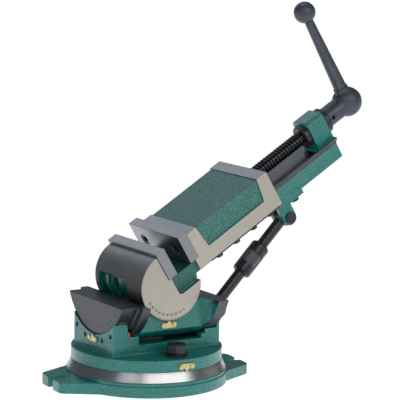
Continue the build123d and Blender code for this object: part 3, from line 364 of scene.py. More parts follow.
@dataclass(frozen=True)
class CutMetal(Finish):
    """Bare iron or steel, milled, turned or ground: fine lines with a soft sheen across them.

    A cutter's lines lie a tenth to a fifth of a millimetre apart. They are drawn half a millimetre apart,
    because finer ones don't show at the size of the render.
    """

    colour: str
    darker: str
    roughness: float = 0.36
    marks: ToolMarks = ToolMarks.ALONG_BED
    line_mm: float = 0.5
    depth_mm: float = 0.02
    patch_mm: float = 18.0
    # Painted shade: below this height the colour turns darker, over the given rise, by at most the given
    # share, towards the given colour
    shaded_below_mm: float = 0.0
    shade_rise_mm: float = 34.0
    shade_share: float = 0.85
    shade_colour: str = "#2E2F31"
    squeeze: float = 0.02
    smoothest: float = 0.82
    roughest: float = 1.2

    def line_vector(self, tree: bpy.types.NodeTree, place: bpy.types.NodeSocket) -> bpy.types.NodeSocket:
        """Coordinates squeezed so that a noise on them draws this cut's lines.

        Args:
            tree: The material's tree.
            place: The object coordinates.

        Returns:
            The socket with the squeezed coordinates.
        """
        axes = BedAxes.from_joints()
        turned = {
            ToolMarks.TURNED_ABOUT_Y: (axes.centre, (1.0, 0.0, 1.0)),
            ToolMarks.TURNED_ABOUT_X: (Vector(joint("cradle_roll")["pos_m"]), (0.0, 1.0, 1.0)),
            ToolMarks.TURNED_ABOUT_Z: (Vector((0, 0, 0)), (1.0, 1.0, 0.0)),
        }
        if self.marks in turned:
            centre, flatten = turned[self.marks]
            offset = add_node(
                tree, "ShaderNodeVectorMath", {"operation": "SUBTRACT", 1: tuple(centre)}, {0: place}
            )
            flat = add_node(
                tree, "ShaderNodeVectorMath", {"operation": "MULTIPLY", 1: flatten}, {0: offset.outputs[0]}
            )
            radius = add_node(tree, "ShaderNodeVectorMath", {"operation": "LENGTH"}, {0: flat.outputs[0]})
            across = add_node(tree, "ShaderNodeCombineXYZ", links={0: radius.outputs["Value"]})
            return across.outputs[0]
        squeezed = {
            ToolMarks.ALONG_BED: (self.squeeze, 1.0, 1.0),
            ToolMarks.UPRIGHT: (1.0, 1.0, self.squeeze),
        }[self.marks]
        tilt = math.atan2(axes.along.z, axes.along.x)
        level = add_node(
            tree,
            "ShaderNodeMapping",
            {"vector_type": "TEXTURE", "Rotation": (0.0, -tilt, 0.0)},
            {"Vector": place},
        )
        drawn_out = add_node(
            tree, "ShaderNodeVectorMath", {"operation": "MULTIPLY", 1: squeezed}, {0: level.outputs[0]}
        )
        return drawn_out.outputs[0]

    # Paints shade on the lower part of a surface, darker further down
    def oiled(
        self, tree: bpy.types.NodeTree, place: bpy.types.NodeSocket, tone: bpy.types.NodeSocket
    ) -> bpy.types.NodeSocket:
        """The tone darkened more and more towards the foot, as painted shade.

        Args:
            tree: The material's tree.
            place: The object coordinates.
            tone: The colour before the painted shade.

        Returns:
            The colour's socket.
        """
        parts = add_node(tree, "ShaderNodeSeparateXYZ", links={0: place})
        fully_shaded_mm = self.shaded_below_mm - self.shade_rise_mm
        heights = {"From Min": fully_shaded_mm * MM, "From Max": self.shaded_below_mm * MM}
        # The share of painted shade, growing towards the foot
        oil = add_node(
            tree,
            "ShaderNodeMapRange",
            {**heights, "To Min": self.shade_share, "To Max": 0.0},
            {"Value": parts.outputs["Z"]},
        )
        darkened = add_node(
            tree,
            "ShaderNodeMix",
            {"data_type": "RGBA", 7: linear(self.shade_colour)},
            {0: oil.outputs[0], 6: tone},
        )
        return darkened.outputs[2]

    def shade(self, tree: bpy.types.NodeTree, place: bpy.types.NodeSocket) -> bpy.types.Node:
        """Soft patches of tone, and the cut's lines in the bump and the gloss.

        Args:
            tree: The material's tree.
            place: The object coordinates.

        Returns:
            The node whose first output is the surface.
        """
        tone, _patches = self.patched(tree, place, self.patch_mm, 4.0, (self.colour, self.darker))
        # Painted shade low down, where the finish has a height for it
        if self.shaded_below_mm:
            tone = self.oiled(tree, place, tone)
        lines = add_node(
            tree,
            "ShaderNodeTexNoise",
            {"Scale": 1 / (self.line_mm * MM), "Detail": 2.0},
            {"Vector": self.line_vector(tree, place)},
        )
        gloss = add_node(
            tree,
            "ShaderNodeMapRange",
            {"To Min": self.roughness * self.smoothest, "To Max": self.roughness * self.roughest},
            {"Value": lines.outputs["Fac"]},
        )
        bump = add_node(
            tree,
            "ShaderNodeBump",
            {"Strength": 0.5, "Distance": self.depth_mm * MM},
            {"Height": lines.outputs["Fac"]},
        )
        return add_node(
            tree,
            "ShaderNodeBsdfPrincipled",
            {"Metallic": 1.0},
            {"Base Color": tone, "Roughness": gloss.outputs[0], "Normal": bump.outputs["Normal"]},
        )


@dataclass(frozen=True)
class BlackSteel(Finish):
    """Steel or iron blacked in hot salts and wiped with oil: near black, with a grey sheen.

    The skin's pits are a few tenths of a millimetre wide. They are drawn over a millimetre wide to show.
    """

    colour: str = "#242529"
    worn: str = "#45474D"
    roughness: float = 0.33
    metallic: float = 0.55
    skin_mm: float = 1.4
    bump_mm: float = 0.05
    patch_mm: float = 9.0

    def shade(self, tree: bpy.types.NodeTree, place: bpy.types.NodeSocket) -> bpy.types.Node:
        """Black with greyer patches where hands and oil have been.

        Args:
            tree: The material's tree.
            place: The object coordinates.

        Returns:
            The node whose first output is the surface.
        """
        tone, _patches = self.patched(tree, place, self.patch_mm, 5.0, (self.colour, self.worn))
        skin = add_node(
            tree, "ShaderNodeTexNoise", {"Scale": 1 / (self.skin_mm * MM), "Detail": 2.0}, {"Vector": place}
        )
        bump = add_node(
            tree,
            "ShaderNodeBump",
            {"Strength": 0.5, "Distance": self.bump_mm * MM},
            {"Height": skin.outputs["Fac"]},
        )
        return add_node(
            tree,
            "ShaderNodeBsdfPrincipled",
            {"Metallic": self.metallic, "Roughness": self.roughness},
            {"Base Color": tone, "Normal": bump.outputs["Normal"]},
        )


@dataclass(frozen=True)
class WarmMetal(Finish):
    """Brass, copper or bronze that has been handled: warm metal with dull spots."""

    colour: str
    dull: str
    roughness: float = 0.3
    spot_mm: float = 3.0
    bump_mm: float = 0.03

    def shade(self, tree: bpy.types.NodeTree, place: bpy.types.NodeSocket) -> bpy.types.Node:
        """Bright metal with dull spots a few millimetres wide.

        Args:
            tree: The material's tree.
            place: The object coordinates.

        Returns:
            The node whose first output is the surface.
        """
        tone, spots = self.patched(tree, place, self.spot_mm, 4.0, (self.colour, self.dull))
        bump = add_node(
            tree, "ShaderNodeBump", {"Strength": 0.4, "Distance": self.bump_mm * MM}, {"Height": spots}
        )
        return add_node(
            tree,
            "ShaderNodeBsdfPrincipled",
            {"Metallic": 1.0, "Roughness": self.roughness},
            {"Base Color": tone, "Normal": bump.outputs["Normal"]},
        )


@dataclass(frozen=True)
class StudioPaper(Finish):
    """Matt white paper under the vise, which turns into evenly lit white further out."""

    colour: str = "#FAFAFA"
    paper_ends_m: float = 0.25
    white_from_m: float = 0.9
    glow: float = 0.8

    def shade(self, tree: bpy.types.NodeTree, place: bpy.types.NodeSocket) -> bpy.types.Node:
        """Paper that takes soft shadows near the middle, and plain light beyond.

        Args:
            tree: The material's tree.
            place: The object coordinates.

        Returns:
            The node whose first output is the surface.
        """
        reach = add_node(tree, "ShaderNodeVectorMath", {"operation": "LENGTH"}, {0: place})
        ends = {"From Min": self.paper_ends_m, "From Max": self.white_from_m}
        share = add_node(
            tree,
            "ShaderNodeMapRange",
            {"interpolation_type": "SMOOTHSTEP", **ends},
            {"Value": reach.outputs["Value"]},
        )
        paper = add_node(
            tree,
            "ShaderNodeBsdfPrincipled",
            {
                "Base Color": linear(self.colour),
                "Roughness": 0.9,
                "Specular IOR Level": 0.1,
                "Emission Color": linear("#FFFFFF"),
                "Emission Strength": self.glow,
            },
        )
        lit = add_node(tree, "ShaderNodeEmission", {"Color": linear("#FFFFFF"), "Strength": 1.0})
        return add_node(
            tree, "ShaderNodeMixShader", links={0: share.outputs[0], 1: paper.outputs[0], 2: lit.outputs[0]}
        )


# Gloss enamel sprayed thick on a sand casting: a wet green that breaks up on the lumps below
ENAMEL = CastEnamel("green_machine_enamel_on_cast_iron")
# The same enamel on the jaw's roughly cast side recesses, with pale flecks on its crests painted as
# highlights
RECESS_ENAMEL = CastEnamel(
    "green_machine_enamel_heavy_grain", "#0F6259", "#18766B", "#7CCFC4", lump_mm=2.2, bump_mm=3.4, coat=0.7
)
# The same enamel on the jaw's top: greyer, a painted reflection of the lamps behind, with a wide soft sheen
TOP_SHEEN_ENAMEL = CastEnamel(
    "green_machine_enamel_painted_top_sheen",
    "#3F7270",
    "#4C8380",
    "#8DB5B1",
    lump_mm=2.4,
    grain_mm=1.2,
    bump_mm=2.4,
    roughness=0.46,
    coat=0.1,
)
# The same enamel in the pockets and the drum's recess: darker, as painted shade, and smoother
POCKET_SHADE_ENAMEL = CastEnamel("green_machine_enamel_painted_pocket_shade", "#0A5449", "#0E6759", "#1F8171", bump_mm=1.2)
# Grey iron, milled: cool grey, with a sheen that runs across the cutter's path
MILLED = CutMetal("milled_cast_iron", "#9EA0A2", "#8A8C8E")
# Grey iron, milled, on the jaw's upright sides: paler and warmer than on top, as painted light from the front
# lamps
MILLED_LIT_SIDE = CutMetal("milled_cast_iron_painted_lit_side", "#BFBAB0", "#ADA9A0")
# Scraped grey iron under way oil: dark, with a tight sheen along the rails
WORN_WAY = CutMetal("oiled_sliding_way", "#5A5A5C", "#434345", roughness=0.3)
# Hardened tool steel, surface ground: an even cool grey with faint upright streaks
GROUND_PLATE = CutMetal(
    "ground_hardened_steel", "#94969A", "#85878A", roughness=0.3, marks=ToolMarks.UPRIGHT, depth_mm=0.012
)
# Grey iron, faced on a lathe: pale, warm and even, with faint rings; the pale warm tone is painted light from
# the front lamps
TURNED_DRUM = CutMetal("turned_cast_iron_disc", "#B5B1A8", "#A6A299", marks=ToolMarks.TURNED_ABOUT_Y)
# Grey iron, turned: dull silver above, darker lower down towards the trough, a darkening that is painted
# shade
TURNED_LAND = CutMetal(
    "turned_cast_iron_land",
    "#C2C5C9",
    "#A6A9AD",
    roughness=0.56,
    marks=ToolMarks.TURNED_ABOUT_Y,
    shaded_below_mm=BedAxes.from_joints().centre.z / MM + SHADE_CLIMB_MM,
)
# Grey iron, turned: dark grey with a broad sheen
TURNED_CRADLE = CutMetal(
    "turned_cast_iron_cradle", "#626467", "#525457", roughness=0.42, marks=ToolMarks.TURNED_ABOUT_X
)
# Grey iron, turned and polished: a bright band that mirrors the soft boxes
TURNED_RING = CutMetal(
    "polished_turned_iron_ring",
    "#B2B4B6",
    "#A5A7A9",
    roughness=0.26,
    marks=ToolMarks.TURNED_ABOUT_Z,
    depth_mm=0.006,
)
# Steel blacked in hot salts and oiled: near black with a satin sheen
BLACKED = BlackSteel("black_oxide_steel")
# Cast steel blacked on its rough skin: blue grey, a little pitted
BLACK_CASTING = BlackSteel(
    "black_oxide_on_cast_steel", "#34383F", "#5A606B", roughness=0.42, skin_mm=2.4, bump_mm=0.12
)
# Black steel thread wet with oil: black with bright lines on its crests
OILED_SCREW = BlackSteel("oiled_black_steel_thread", "#19191B", "#44454A", roughness=0.26, metallic=0.8)
# Engraving filled with matt black paint: flat black strokes
ENGRAVED = BlackSteel("black_filled_engraving", "#2A2A2B", "#3A3A3B", roughness=0.6, metallic=0.0)
# Stamped brass sheet: pale yellow with duller spots
BRASS = WarmMetal("stamped_brass", "#D2C594", "#A89B6C")
# Drawn copper rod, gone brown in places: soft orange
COPPER = WarmMetal("copper_rod", "#C4754E", "#9A5636", roughness=0.38)
# Cast bronze, bored: brown gold, seen only in the gaps round the screw
BRONZE = WarmMetal("cast_bronze", "#8C6A3C", "#6E5230", roughness=0.4)
# Matt background paper: white with soft shadows
PAPER = StudioPaper("pale_floor")


# Meshes


FaceTest = Callable[[Vector, Vector], bool]


@dataclass(frozen=True)
class FaceRule:
    """A finish and its tests. A face that passes one of them gets it.

    A test takes the middle of a face in metres and the way that it faces.
    """

    finish: Finish
    tests: tuple[FaceTest, ...]

    def applies(self, place: Vector, normal: Vector) -> bool:
        """True where the face at this place, with this normal, passes a test."""
        return any(test(place, normal) for test in self.tests)


def everywhere(_place: Vector, _normal: Vector) -> bool:
    """The test of a finish that takes every face left."""
    return True


def finished_object(name: str, mesh: bpy.types.Mesh) -> bpy.types.Object:
    """Puts a mesh in the scene with smooth shading that breaks at its corners.

    Args:
        name: The object's name.
        mesh: Its mesh, already in place.

    Returns:
        The new object, at the origin.
    """
    mesh.shade_smooth()
    mesh.set_sharp_from_angle(angle=math.radians(SHARP_FROM_DEGREES))
    piece = bpy.data.objects.new(name, mesh)
    bpy.context.scene.collection.objects.link(piece)
    return piece


def baked(piece: bpy.types.Object) -> bpy.types.Mesh:
    """The plain mesh of an object with all its modifiers applied."""
    graph = bpy.context.evaluated_depsgraph_get()
    return bpy.data.meshes.new_from_object(piece.evaluated_get(graph), depsgraph=graph)


def weigh_edges(work: bmesh.types.BMesh, edge_mm: float) -> None:
    """Marks the outer corners to be rounded, less where a wall beside them is narrow.

    Args:
        work: The mesh, with each flat face in one piece.
        edge_mm: Width of a full rounding.
    """
    weights = work.edges.layers.float.new("bevel_weight_edge")
    for edge in work.edges:
        if len(edge.link_faces) != 2 or not edge.is_convex:
            continue
        if edge.calc_face_angle() < math.radians(ROUND_FROM_DEGREES):
            continue
        start, line = edge.verts[0].co, (edge.verts[1].co - edge.verts[0].co).normalized()
        narrowest = min(
            max((vertex.co - start).cross(line).length for vertex in face.verts) for face in edge.link_faces
        )
        edge[weights] = min(1.0, WALL_SHARE * narrowest / (edge_mm * MM))


def folded_faces(mesh: bpy.types.Mesh) -> list[int]:
    """Finds the flat faces that the rounding left lying over themselves.

    Args:
        mesh: The rounded mesh.

    Returns:
        Numbers of the faces whose triangles cover more than the face itself.
    """
    mesh.calc_loop_triangles()
    covered = [0.0] * len(mesh.polygons)
    for triangle in mesh.loop_triangles:
        covered[triangle.polygon_index] += triangle.area
    rounding_error, smallest = 1.0005, 0.01 * MM**2
    return [
        face.index
        for face in mesh.polygons
        if len(face.vertices) > 4 and covered[face.index] > rounding_error * face.area + smallest
    ]


def fill_anew(mesh: bpy.types.Mesh) -> None:
    """Fills a flat area again from its rim where the rounding left part of it lying over itself.

    Args:
        mesh: The rounded mesh, changed in place.
    """
    numbers = folded_faces(mesh)
    if not numbers:
        return
    work = bmesh.new()
    work.from_mesh(mesh)
    work.faces.ensure_lookup_table()
    for start in [work.faces[number] for number in numbers]:
        if not start.is_valid:
            continue
        facing, finish = start.normal.copy(), start.material_index
        area, found = {start}, [start]
        for known in found:
            for edge in known.edges:
                for face in edge.link_faces:
                    level = face.normal.dot(facing) > LEVEL and face.material_index == finish
                    if level and face not in area:
                        area.add(face)
                        found.append(face)
        rim = [edge for face in found for edge in face.edges if sum(f in area for f in edge.link_faces) == 1]
        bmesh.ops.delete(work, geom=found, context="FACES")
        rim = [edge for edge in rim if edge.is_valid]
        filled = bmesh.ops.triangle_fill(work, use_beauty=True, edges=rim, normal=facing)
        for face in filled["geom"]:
            if isinstance(face, bmesh.types.BMFace):
                face.normal_update()
                if face.normal.dot(facing) < 0:
                    face.normal_flip()
                face.material_index = finish
                face.smooth = True
    work.to_mesh(mesh)
    work.free()


def dress(
    node: str,
    body: str,
    rules: Sequence[FaceRule],
    edge_mm: float,
    cuts: Sequence[tuple[Vector, Vector]] = (),
) -> None:
    """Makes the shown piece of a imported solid, with round edges and a finish for each face.

    Args:
        node: The solid's node.
        body: The body that it rides on.
        rules: Finishes with their tests; the first test that a face passes sets its finish.
        edge_mm: Width of the rounding at its edges, or zero for none.
        cuts: Planes, each a place and a normal, that part a face where its finish changes.
    """
    work = bmesh.new()
    work.from_mesh(frame["nodes"][node].data)
    bmesh.ops.remove_doubles(work, verts=work.verts, dist=MERGE_MM * MM)
    for spot, across in cuts:
        whole = list(work.verts) + list(work.edges) + list(work.faces)
        bmesh.ops.bisect_plane(work, geom=whole, dist=CUT_MM * MM, plane_co=spot, plane_no=across)
    work.normal_update()
    for face in work.faces:
        centre, normal = face.calc_center_median(), face.normal.copy()
        face.material_index = next(i for i, rule in enumerate(rules) if rule.applies(centre, normal))
    bmesh.ops.dissolve_limit(
        work,
        angle_limit=math.radians(LEVEL_DEGREES),
        verts=work.verts,
        edges=work.edges,
        delimit={"MATERIAL"},
    )
    if edge_mm:
        weigh_edges(work, edge_mm)
    mesh = bpy.data.meshes.new(f"{node}_skin")
    work.to_mesh(mesh)
    work.free()
    for rule in rules:
        mesh.materials.append(rule.finish.build())
    piece = finished_object(f"{node}_skin", mesh)
    if edge_mm:
        rounding = piece.modifiers.new("rounding", "BEVEL")
        rounding.width = edge_mm * MM
        rounding.segments = ROUNDING_STEPS
        rounding.limit_method = "WEIGHT"
        rounding.use_clamp_overlap = False
        rounding.loop_slide = False
        piece.data = baked(piece)
        piece.modifiers.clear()
        fill_anew(piece.data)
        settling = piece.modifiers.new("settled_normals", "WEIGHTED_NORMAL")
        settling.keep_sharp = True
        settling.weight = LARGE_FACE_PULL
        piece.data = baked(piece)
        piece.modifiers.clear()
    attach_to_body(piece, body)
    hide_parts(node)
    log.info("dressed %s on %s: %d faces", node, body, len(piece.data.polygons))


def plain(node: str, body: str, finish: Finish, edge_mm: float = 0.3) -> None:
    """Dresses a solid that has one finish all over."""
    dress(node, body, [FaceRule(finish, (everywhere,))], edge_mm)


def attach(piece: bpy.types.Object, body: str) -> None:
    """Lets a new piece ride on a body.

    Args:
        piece: The new piece.
        body: The body that it rides on.
    """
    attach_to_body(piece, body)
    log.info("added %s on %s: %d faces", piece.name, body, len(piece.data.polygons))


# Geometry node trees


def tree_with_inputs(name: str, inputs: Iterable[tuple[str, str, object]]) -> bpy.types.NodeTree:
    """An empty geometry tree with named inputs and one geometry output.

    Args:
        name: The tree's name.
        inputs: Name, socket type and default of each input.

    Returns:
        The tree.
    """
    tree = bpy.data.node_groups.new(name, "GeometryNodeTree")
    for label, kind, default in inputs:
        socket = tree.interface.new_socket(label, in_out="INPUT", socket_type=kind)
        if default is not None:
            socket.default_value = default
    tree.interface.new_socket("Geometry", in_out="OUTPUT", socket_type="NodeSocketGeometry")
    return tree


def run_tree(tree: bpy.types.NodeTree, name: str, values: dict, place: Matrix) -> bpy.types.Object:
    """Runs a geometry tree and keeps its result as a plain mesh, set in place.

    Args:
        tree: The geometry tree.
        name: Name of the new object.
        values: Input names with their values.
        place: Where the tree's own origin and axes go.

    Returns:
        The new object, at the origin with its place in its mesh.
    """
    holder = bpy.data.objects.new(name, bpy.data.meshes.new(name))
    bpy.context.scene.collection.objects.link(holder)
    modifier = holder.modifiers.new("tree", "NODES")
    modifier.node_group = tree
    for item in tree.interface.items_tree:
        if item.in_out == "INPUT" and item.name in values:
            modifier[item.identifier] = values[item.name]
    mesh = baked(holder)
    bpy.data.objects.remove(holder)
    mesh.transform(place)
    mesh.name = name
    return finished_object(name, mesh)


def graduation_tree() -> bpy.types.NodeTree:
    """Engraved lines on an arc: each a thin bar that points at the arc's middle.

    Returns:
        A tree with inputs for the arc, the lines' size, their slope and the material.
    """
    tree = tree_with_inputs(
        "graduation",
        [
            ("Count", "NodeSocketInt", 10),
            ("Radius", "NodeSocketFloat", 0.05),
            ("Start", "NodeSocketFloat", 0.0),
            ("Step", "NodeSocketFloat", 0.1),
            ("Length", "NodeSocketFloat", 0.003),
            ("Width", "NodeSocketFloat", 0.0003),
            ("Depth", "NodeSocketFloat", 0.0001),
            ("Slope", "NodeSocketFloat", 0.0),
            ("Finish", "NodeSocketMaterial", None),
        ],
    )
    given = add_node(tree, "NodeGroupInput").outputs
    index = add_node(tree, "GeometryNodeInputIndex")
    times, plus = {"operation": "MULTIPLY"}, {"operation": "ADD"}
    swept = add_node(tree, "ShaderNodeMath", times, {0: index.outputs[0], 1: given["Step"]})
    angle = add_node(tree, "ShaderNodeMath", plus, {0: swept.outputs[0], 1: given["Start"]}).outputs[0]
    cosine = add_node(tree, "ShaderNodeMath", {"operation": "COSINE"}, {0: angle})
    sine = add_node(tree, "ShaderNodeMath", {"operation": "SINE"}, {0: angle})
    x = add_node(tree, "ShaderNodeMath", times, {0: cosine.outputs[0], 1: given["Radius"]})
    y = add_node(tree, "ShaderNodeMath", times, {0: sine.outputs[0], 1: given["Radius"]})
    spot = add_node(tree, "ShaderNodeCombineXYZ", links={0: x.outputs[0], 1: y.outputs[0]})
    turn = add_node(tree, "ShaderNodeCombineXYZ", links={1: given["Slope"], 2: angle})
    spots = add_node(tree, "GeometryNodePoints", links={"Count": given["Count"], "Position": spot.outputs[0]})
    size = add_node(
        tree, "ShaderNodeCombineXYZ", links={0: given["Length"], 1: given["Width"], 2: given["Depth"]}
    )
    bar = add_node(tree, "GeometryNodeMeshCube", links={"Size": size.outputs[0]})
    bars = add_node(
        tree,
        "GeometryNodeInstanceOnPoints",
        links={"Points": spots.outputs[0], "Instance": bar.outputs[0], "Rotation": turn.outputs[0]},
    )
    solid = add_node(tree, "GeometryNodeRealizeInstances", links={"Geometry": bars.outputs[0]})
    dressed = add_node(
        tree, "GeometryNodeSetMaterial", links={"Geometry": solid.outputs[0], "Material": given["Finish"]}
    )
    add_node(tree, "NodeGroupOutput", links={"Geometry": dressed.outputs[0]})
    return tree


def thread_tree() -> bpy.types.NodeTree:
    """The crest of a screw thread: a trapezium swept along a helix about Z.

    Returns:
        A tree with inputs for the helix, the crest's section and the material.
    """
    tree = tree_with_inputs(
        "thread_crest",
        [
            ("Turns", "NodeSocketFloat", 10.0),
            ("Steps", "NodeSocketInt", 40),
            ("Length", "NodeSocketFloat", 0.1),
            ("Radius", "NodeSocketFloat", 0.009),
            ("Foot", "NodeSocketFloat", 0.003),
            ("Crest", "NodeSocketFloat", 0.0015),
            ("Height", "NodeSocketFloat", 0.002),
            ("Left Hand", "NodeSocketBool", False),
            ("Finish", "NodeSocketMaterial", None),
        ],
    )
    given = add_node(tree, "NodeGroupInput").outputs
    helix = add_node(
        tree,
        "GeometryNodeCurveSpiral",
        links={
            "Resolution": given["Steps"],
            "Rotations": given["Turns"],
            "Start Radius": given["Radius"],
            "End Radius": given["Radius"],
            "Height": given["Length"],
            "Reverse": given["Left Hand"],
        },
    )
    upright = add_node(tree, "GeometryNodeSetCurveNormal", {"mode": "Z_UP"}, {"Curve": helix.outputs[0]})
    section = add_node(
        tree,
        "GeometryNodeCurvePrimitiveQuadrilateral",
        {"mode": "TRAPEZOID", "Offset": 0.0},
        {"Bottom Width": given["Foot"], "Top Width": given["Crest"], "Height": given["Height"]},
    )
    outward = add_node(
        tree,
        "GeometryNodeTransform",
        {"Rotation": (0.0, 0.0, math.radians(-90))},
        {"Geometry": section.outputs[0]},
    )
    swept = add_node(
        tree,
        "GeometryNodeCurveToMesh",
        {"Fill Caps": True},
        {"Curve": upright.outputs[0], "Profile Curve": outward.outputs[0]},
    )
    solid = add_node(tree, "GeometryNodeRealizeInstances", links={"Geometry": swept.outputs[0]})
    dressed = add_node(
        tree, "GeometryNodeSetMaterial", links={"Geometry": solid.outputs[0], "Material": given["Finish"]}
    )
    add_node(tree, "NodeGroupOutput", links={"Geometry": dressed.outputs[0]})
    return tree


# Sub-assemblies


@dataclass
class Scale:
    """Lines and numbers of one scale, engraved in a flat face."""

    name: str
    body: str
    place: Matrix
    radius_mm: float
    number_radius_mm: float
    first: int
    last: int
    direction: int
    slot: str = "green_paint"
    zero_degrees: float = -90.0
    number_mm: float = 4.4
    stroke_mm: float = 0.09
    line_mm: float = 1.6
    line_width_mm: float = 0.2
    relief_mm: float = 0.06
    tens: int = 10
    curve_steps: int = 3

    def lines(self, tree: bpy.types.NodeTree) -> None:
        """The fine line of each degree and the longer one of each ten.

        Args:
            tree: The graduation tree.
        """
        for label, step, length in (("degrees", 1, self.line_mm), ("tens", self.tens, 2 * self.line_mm)):
            values = {
                "Count": (self.last - self.first) // step + 1,
                "Radius": (self.radius_mm - length / 2) * MM,
                "Start": math.radians(self.zero_degrees + self.direction * self.first),
                "Step": math.radians(self.direction * step),
                "Length": length * MM,
                "Width": self.line_width_mm * MM,
                "Depth": self.relief_mm * MM,
                "Finish": ENGRAVED.build(),
            }
            attach(run_tree(tree, f"{self.name}_{label}", values, self.place), self.body)

    def number(self, value: int) -> bpy.types.Mesh:
        """One number, its foot towards the rim.

        Args:
            value: Where on the scale it stands. It shows without its sign.

        Returns:
            Its mesh, in place.
        """
        text = bpy.data.curves.new(f"{self.name}_{value}", "FONT")
        text.body = str(abs(value))
        text.size = self.number_mm * MM
        text.align_x = "CENTER"
        text.align_y = "CENTER"
        text.extrude = self.relief_mm / 2 * MM
        text.offset = self.stroke_mm * MM
        text.resolution_u = self.curve_steps
        holder = bpy.data.objects.new(text.name, text)
        bpy.context.scene.collection.objects.link(holder)
        mesh = baked(holder)
        bpy.data.objects.remove(holder)
        angle = math.radians(self.zero_degrees + self.direction * value)
        spot = Vector((math.cos(angle), math.sin(angle), 0)) * self.number_radius_mm * MM
        turn = Matrix.Rotation(angle + math.radians(90), 4, "Z")
        mesh.transform(self.place @ Matrix.Translation(spot) @ turn)
        return mesh

    def numbers(self) -> None:
        """The numbers of all tens, as one piece."""
        joined = bmesh.new()
        for value in range(self.first, self.last + 1, self.tens):
            mesh = self.number(value)
            joined.from_mesh(mesh)
            bpy.data.meshes.remove(mesh)
        mesh = bpy.data.meshes.new(f"{self.name}_numbers")
        joined.to_mesh(mesh)
        joined.free()
        mesh.materials.append(ENGRAVED.build())
        attach(finished_object(f"{self.name}_numbers", mesh), self.body)

    def build(self, tree: bpy.types.NodeTree) -> None:
        """Makes the lines and the numbers."""
        self.lines(tree)
        self.numbers()


@dataclass
class Base:
    """The base casting with its graduated ring and pivot."""

    graduation: bpy.types.NodeTree
    ring_foot_radius_mm: float = 106.3
    ring_top_radius_mm: float = 100.0
    rim_mm: float = 0.6
    line_mm: float = 2.2
    long_line_mm: float = 3.96
    line_width_mm: float = 0.3
    relief_mm: float = 0.06

    def build(self) -> None:
        """Dresses the base's solids and engraves the ring."""
        plain("base_casting", "base", ENAMEL, edge_mm=1.2)
        plain("graduated_ring", "base", TURNED_RING, edge_mm=0.3)
        plain("centre_pivot", "base", MILLED, edge_mm=0.0)
        self.engrave_ring()

    def engrave_ring(self) -> None:
        """Lines down the cone from its upper edge: short for degrees, longer for fives."""
        low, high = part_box("graduated_ring")
        flare = (self.ring_foot_radius_mm - self.ring_top_radius_mm) * MM
        slope = math.atan2(high.z - low.z, flare)
        for label, step, length in (("degrees", 1, self.line_mm), ("fives", 5, self.long_line_mm)):
            middle = (self.rim_mm + length / 2) * MM
            values = {
                "Count": 360 // step,
                "Radius": self.ring_top_radius_mm * MM + middle * math.cos(slope),
                "Step": math.radians(step),
                "Length": length * MM,
                "Width": self.line_width_mm * MM,
                "Depth": self.relief_mm * MM,
                "Slope": slope,
                "Finish": ENGRAVED.build(),
            }
            place = Matrix.Translation((0, 0, high.z - middle * math.sin(slope)))
            attach(run_tree(self.graduation, f"ring_{label}", values, place), "base")


@dataclass
class Swivel:
    """The swivel body with its clamp bolts, pointers and plug."""

    seat_radius_mm: float = 77.45

    def on_seat(self, place: Vector, normal: Vector) -> bool:
        """True on the round seats of the cradle."""
        return abs(roll_reach(place) - self.seat_radius_mm) < NEAR_MM and abs(normal.x) < SQUARE_TO_IT

    def build(self) -> None:
        """Dresses the swivel body, with bare iron on the cradle's seats, and what is fixed to it."""
        rules = [FaceRule(TURNED_CRADLE, (self.on_seat,)), FaceRule(ENAMEL, (everywhere,))]
        dress("swivel_body", "swivel", rules, edge_mm=0.8)
        plain("swivel_bolts", "swivel", BLACKED)
        plain("swivel_washers", "swivel", BLACKED, edge_mm=0.4)
        plain("swivel_nuts", "swivel", BLACKED, edge_mm=1.2)
        plain("roll_pointer", "swivel", BRASS, edge_mm=0.25)
        plain("swivel_pointer", "swivel", BRASS, edge_mm=0.25)
        plain("pointer_rivets", "swivel", BRASS, edge_mm=0.25)
        plain("copper_plug", "swivel", COPPER, edge_mm=0.5)


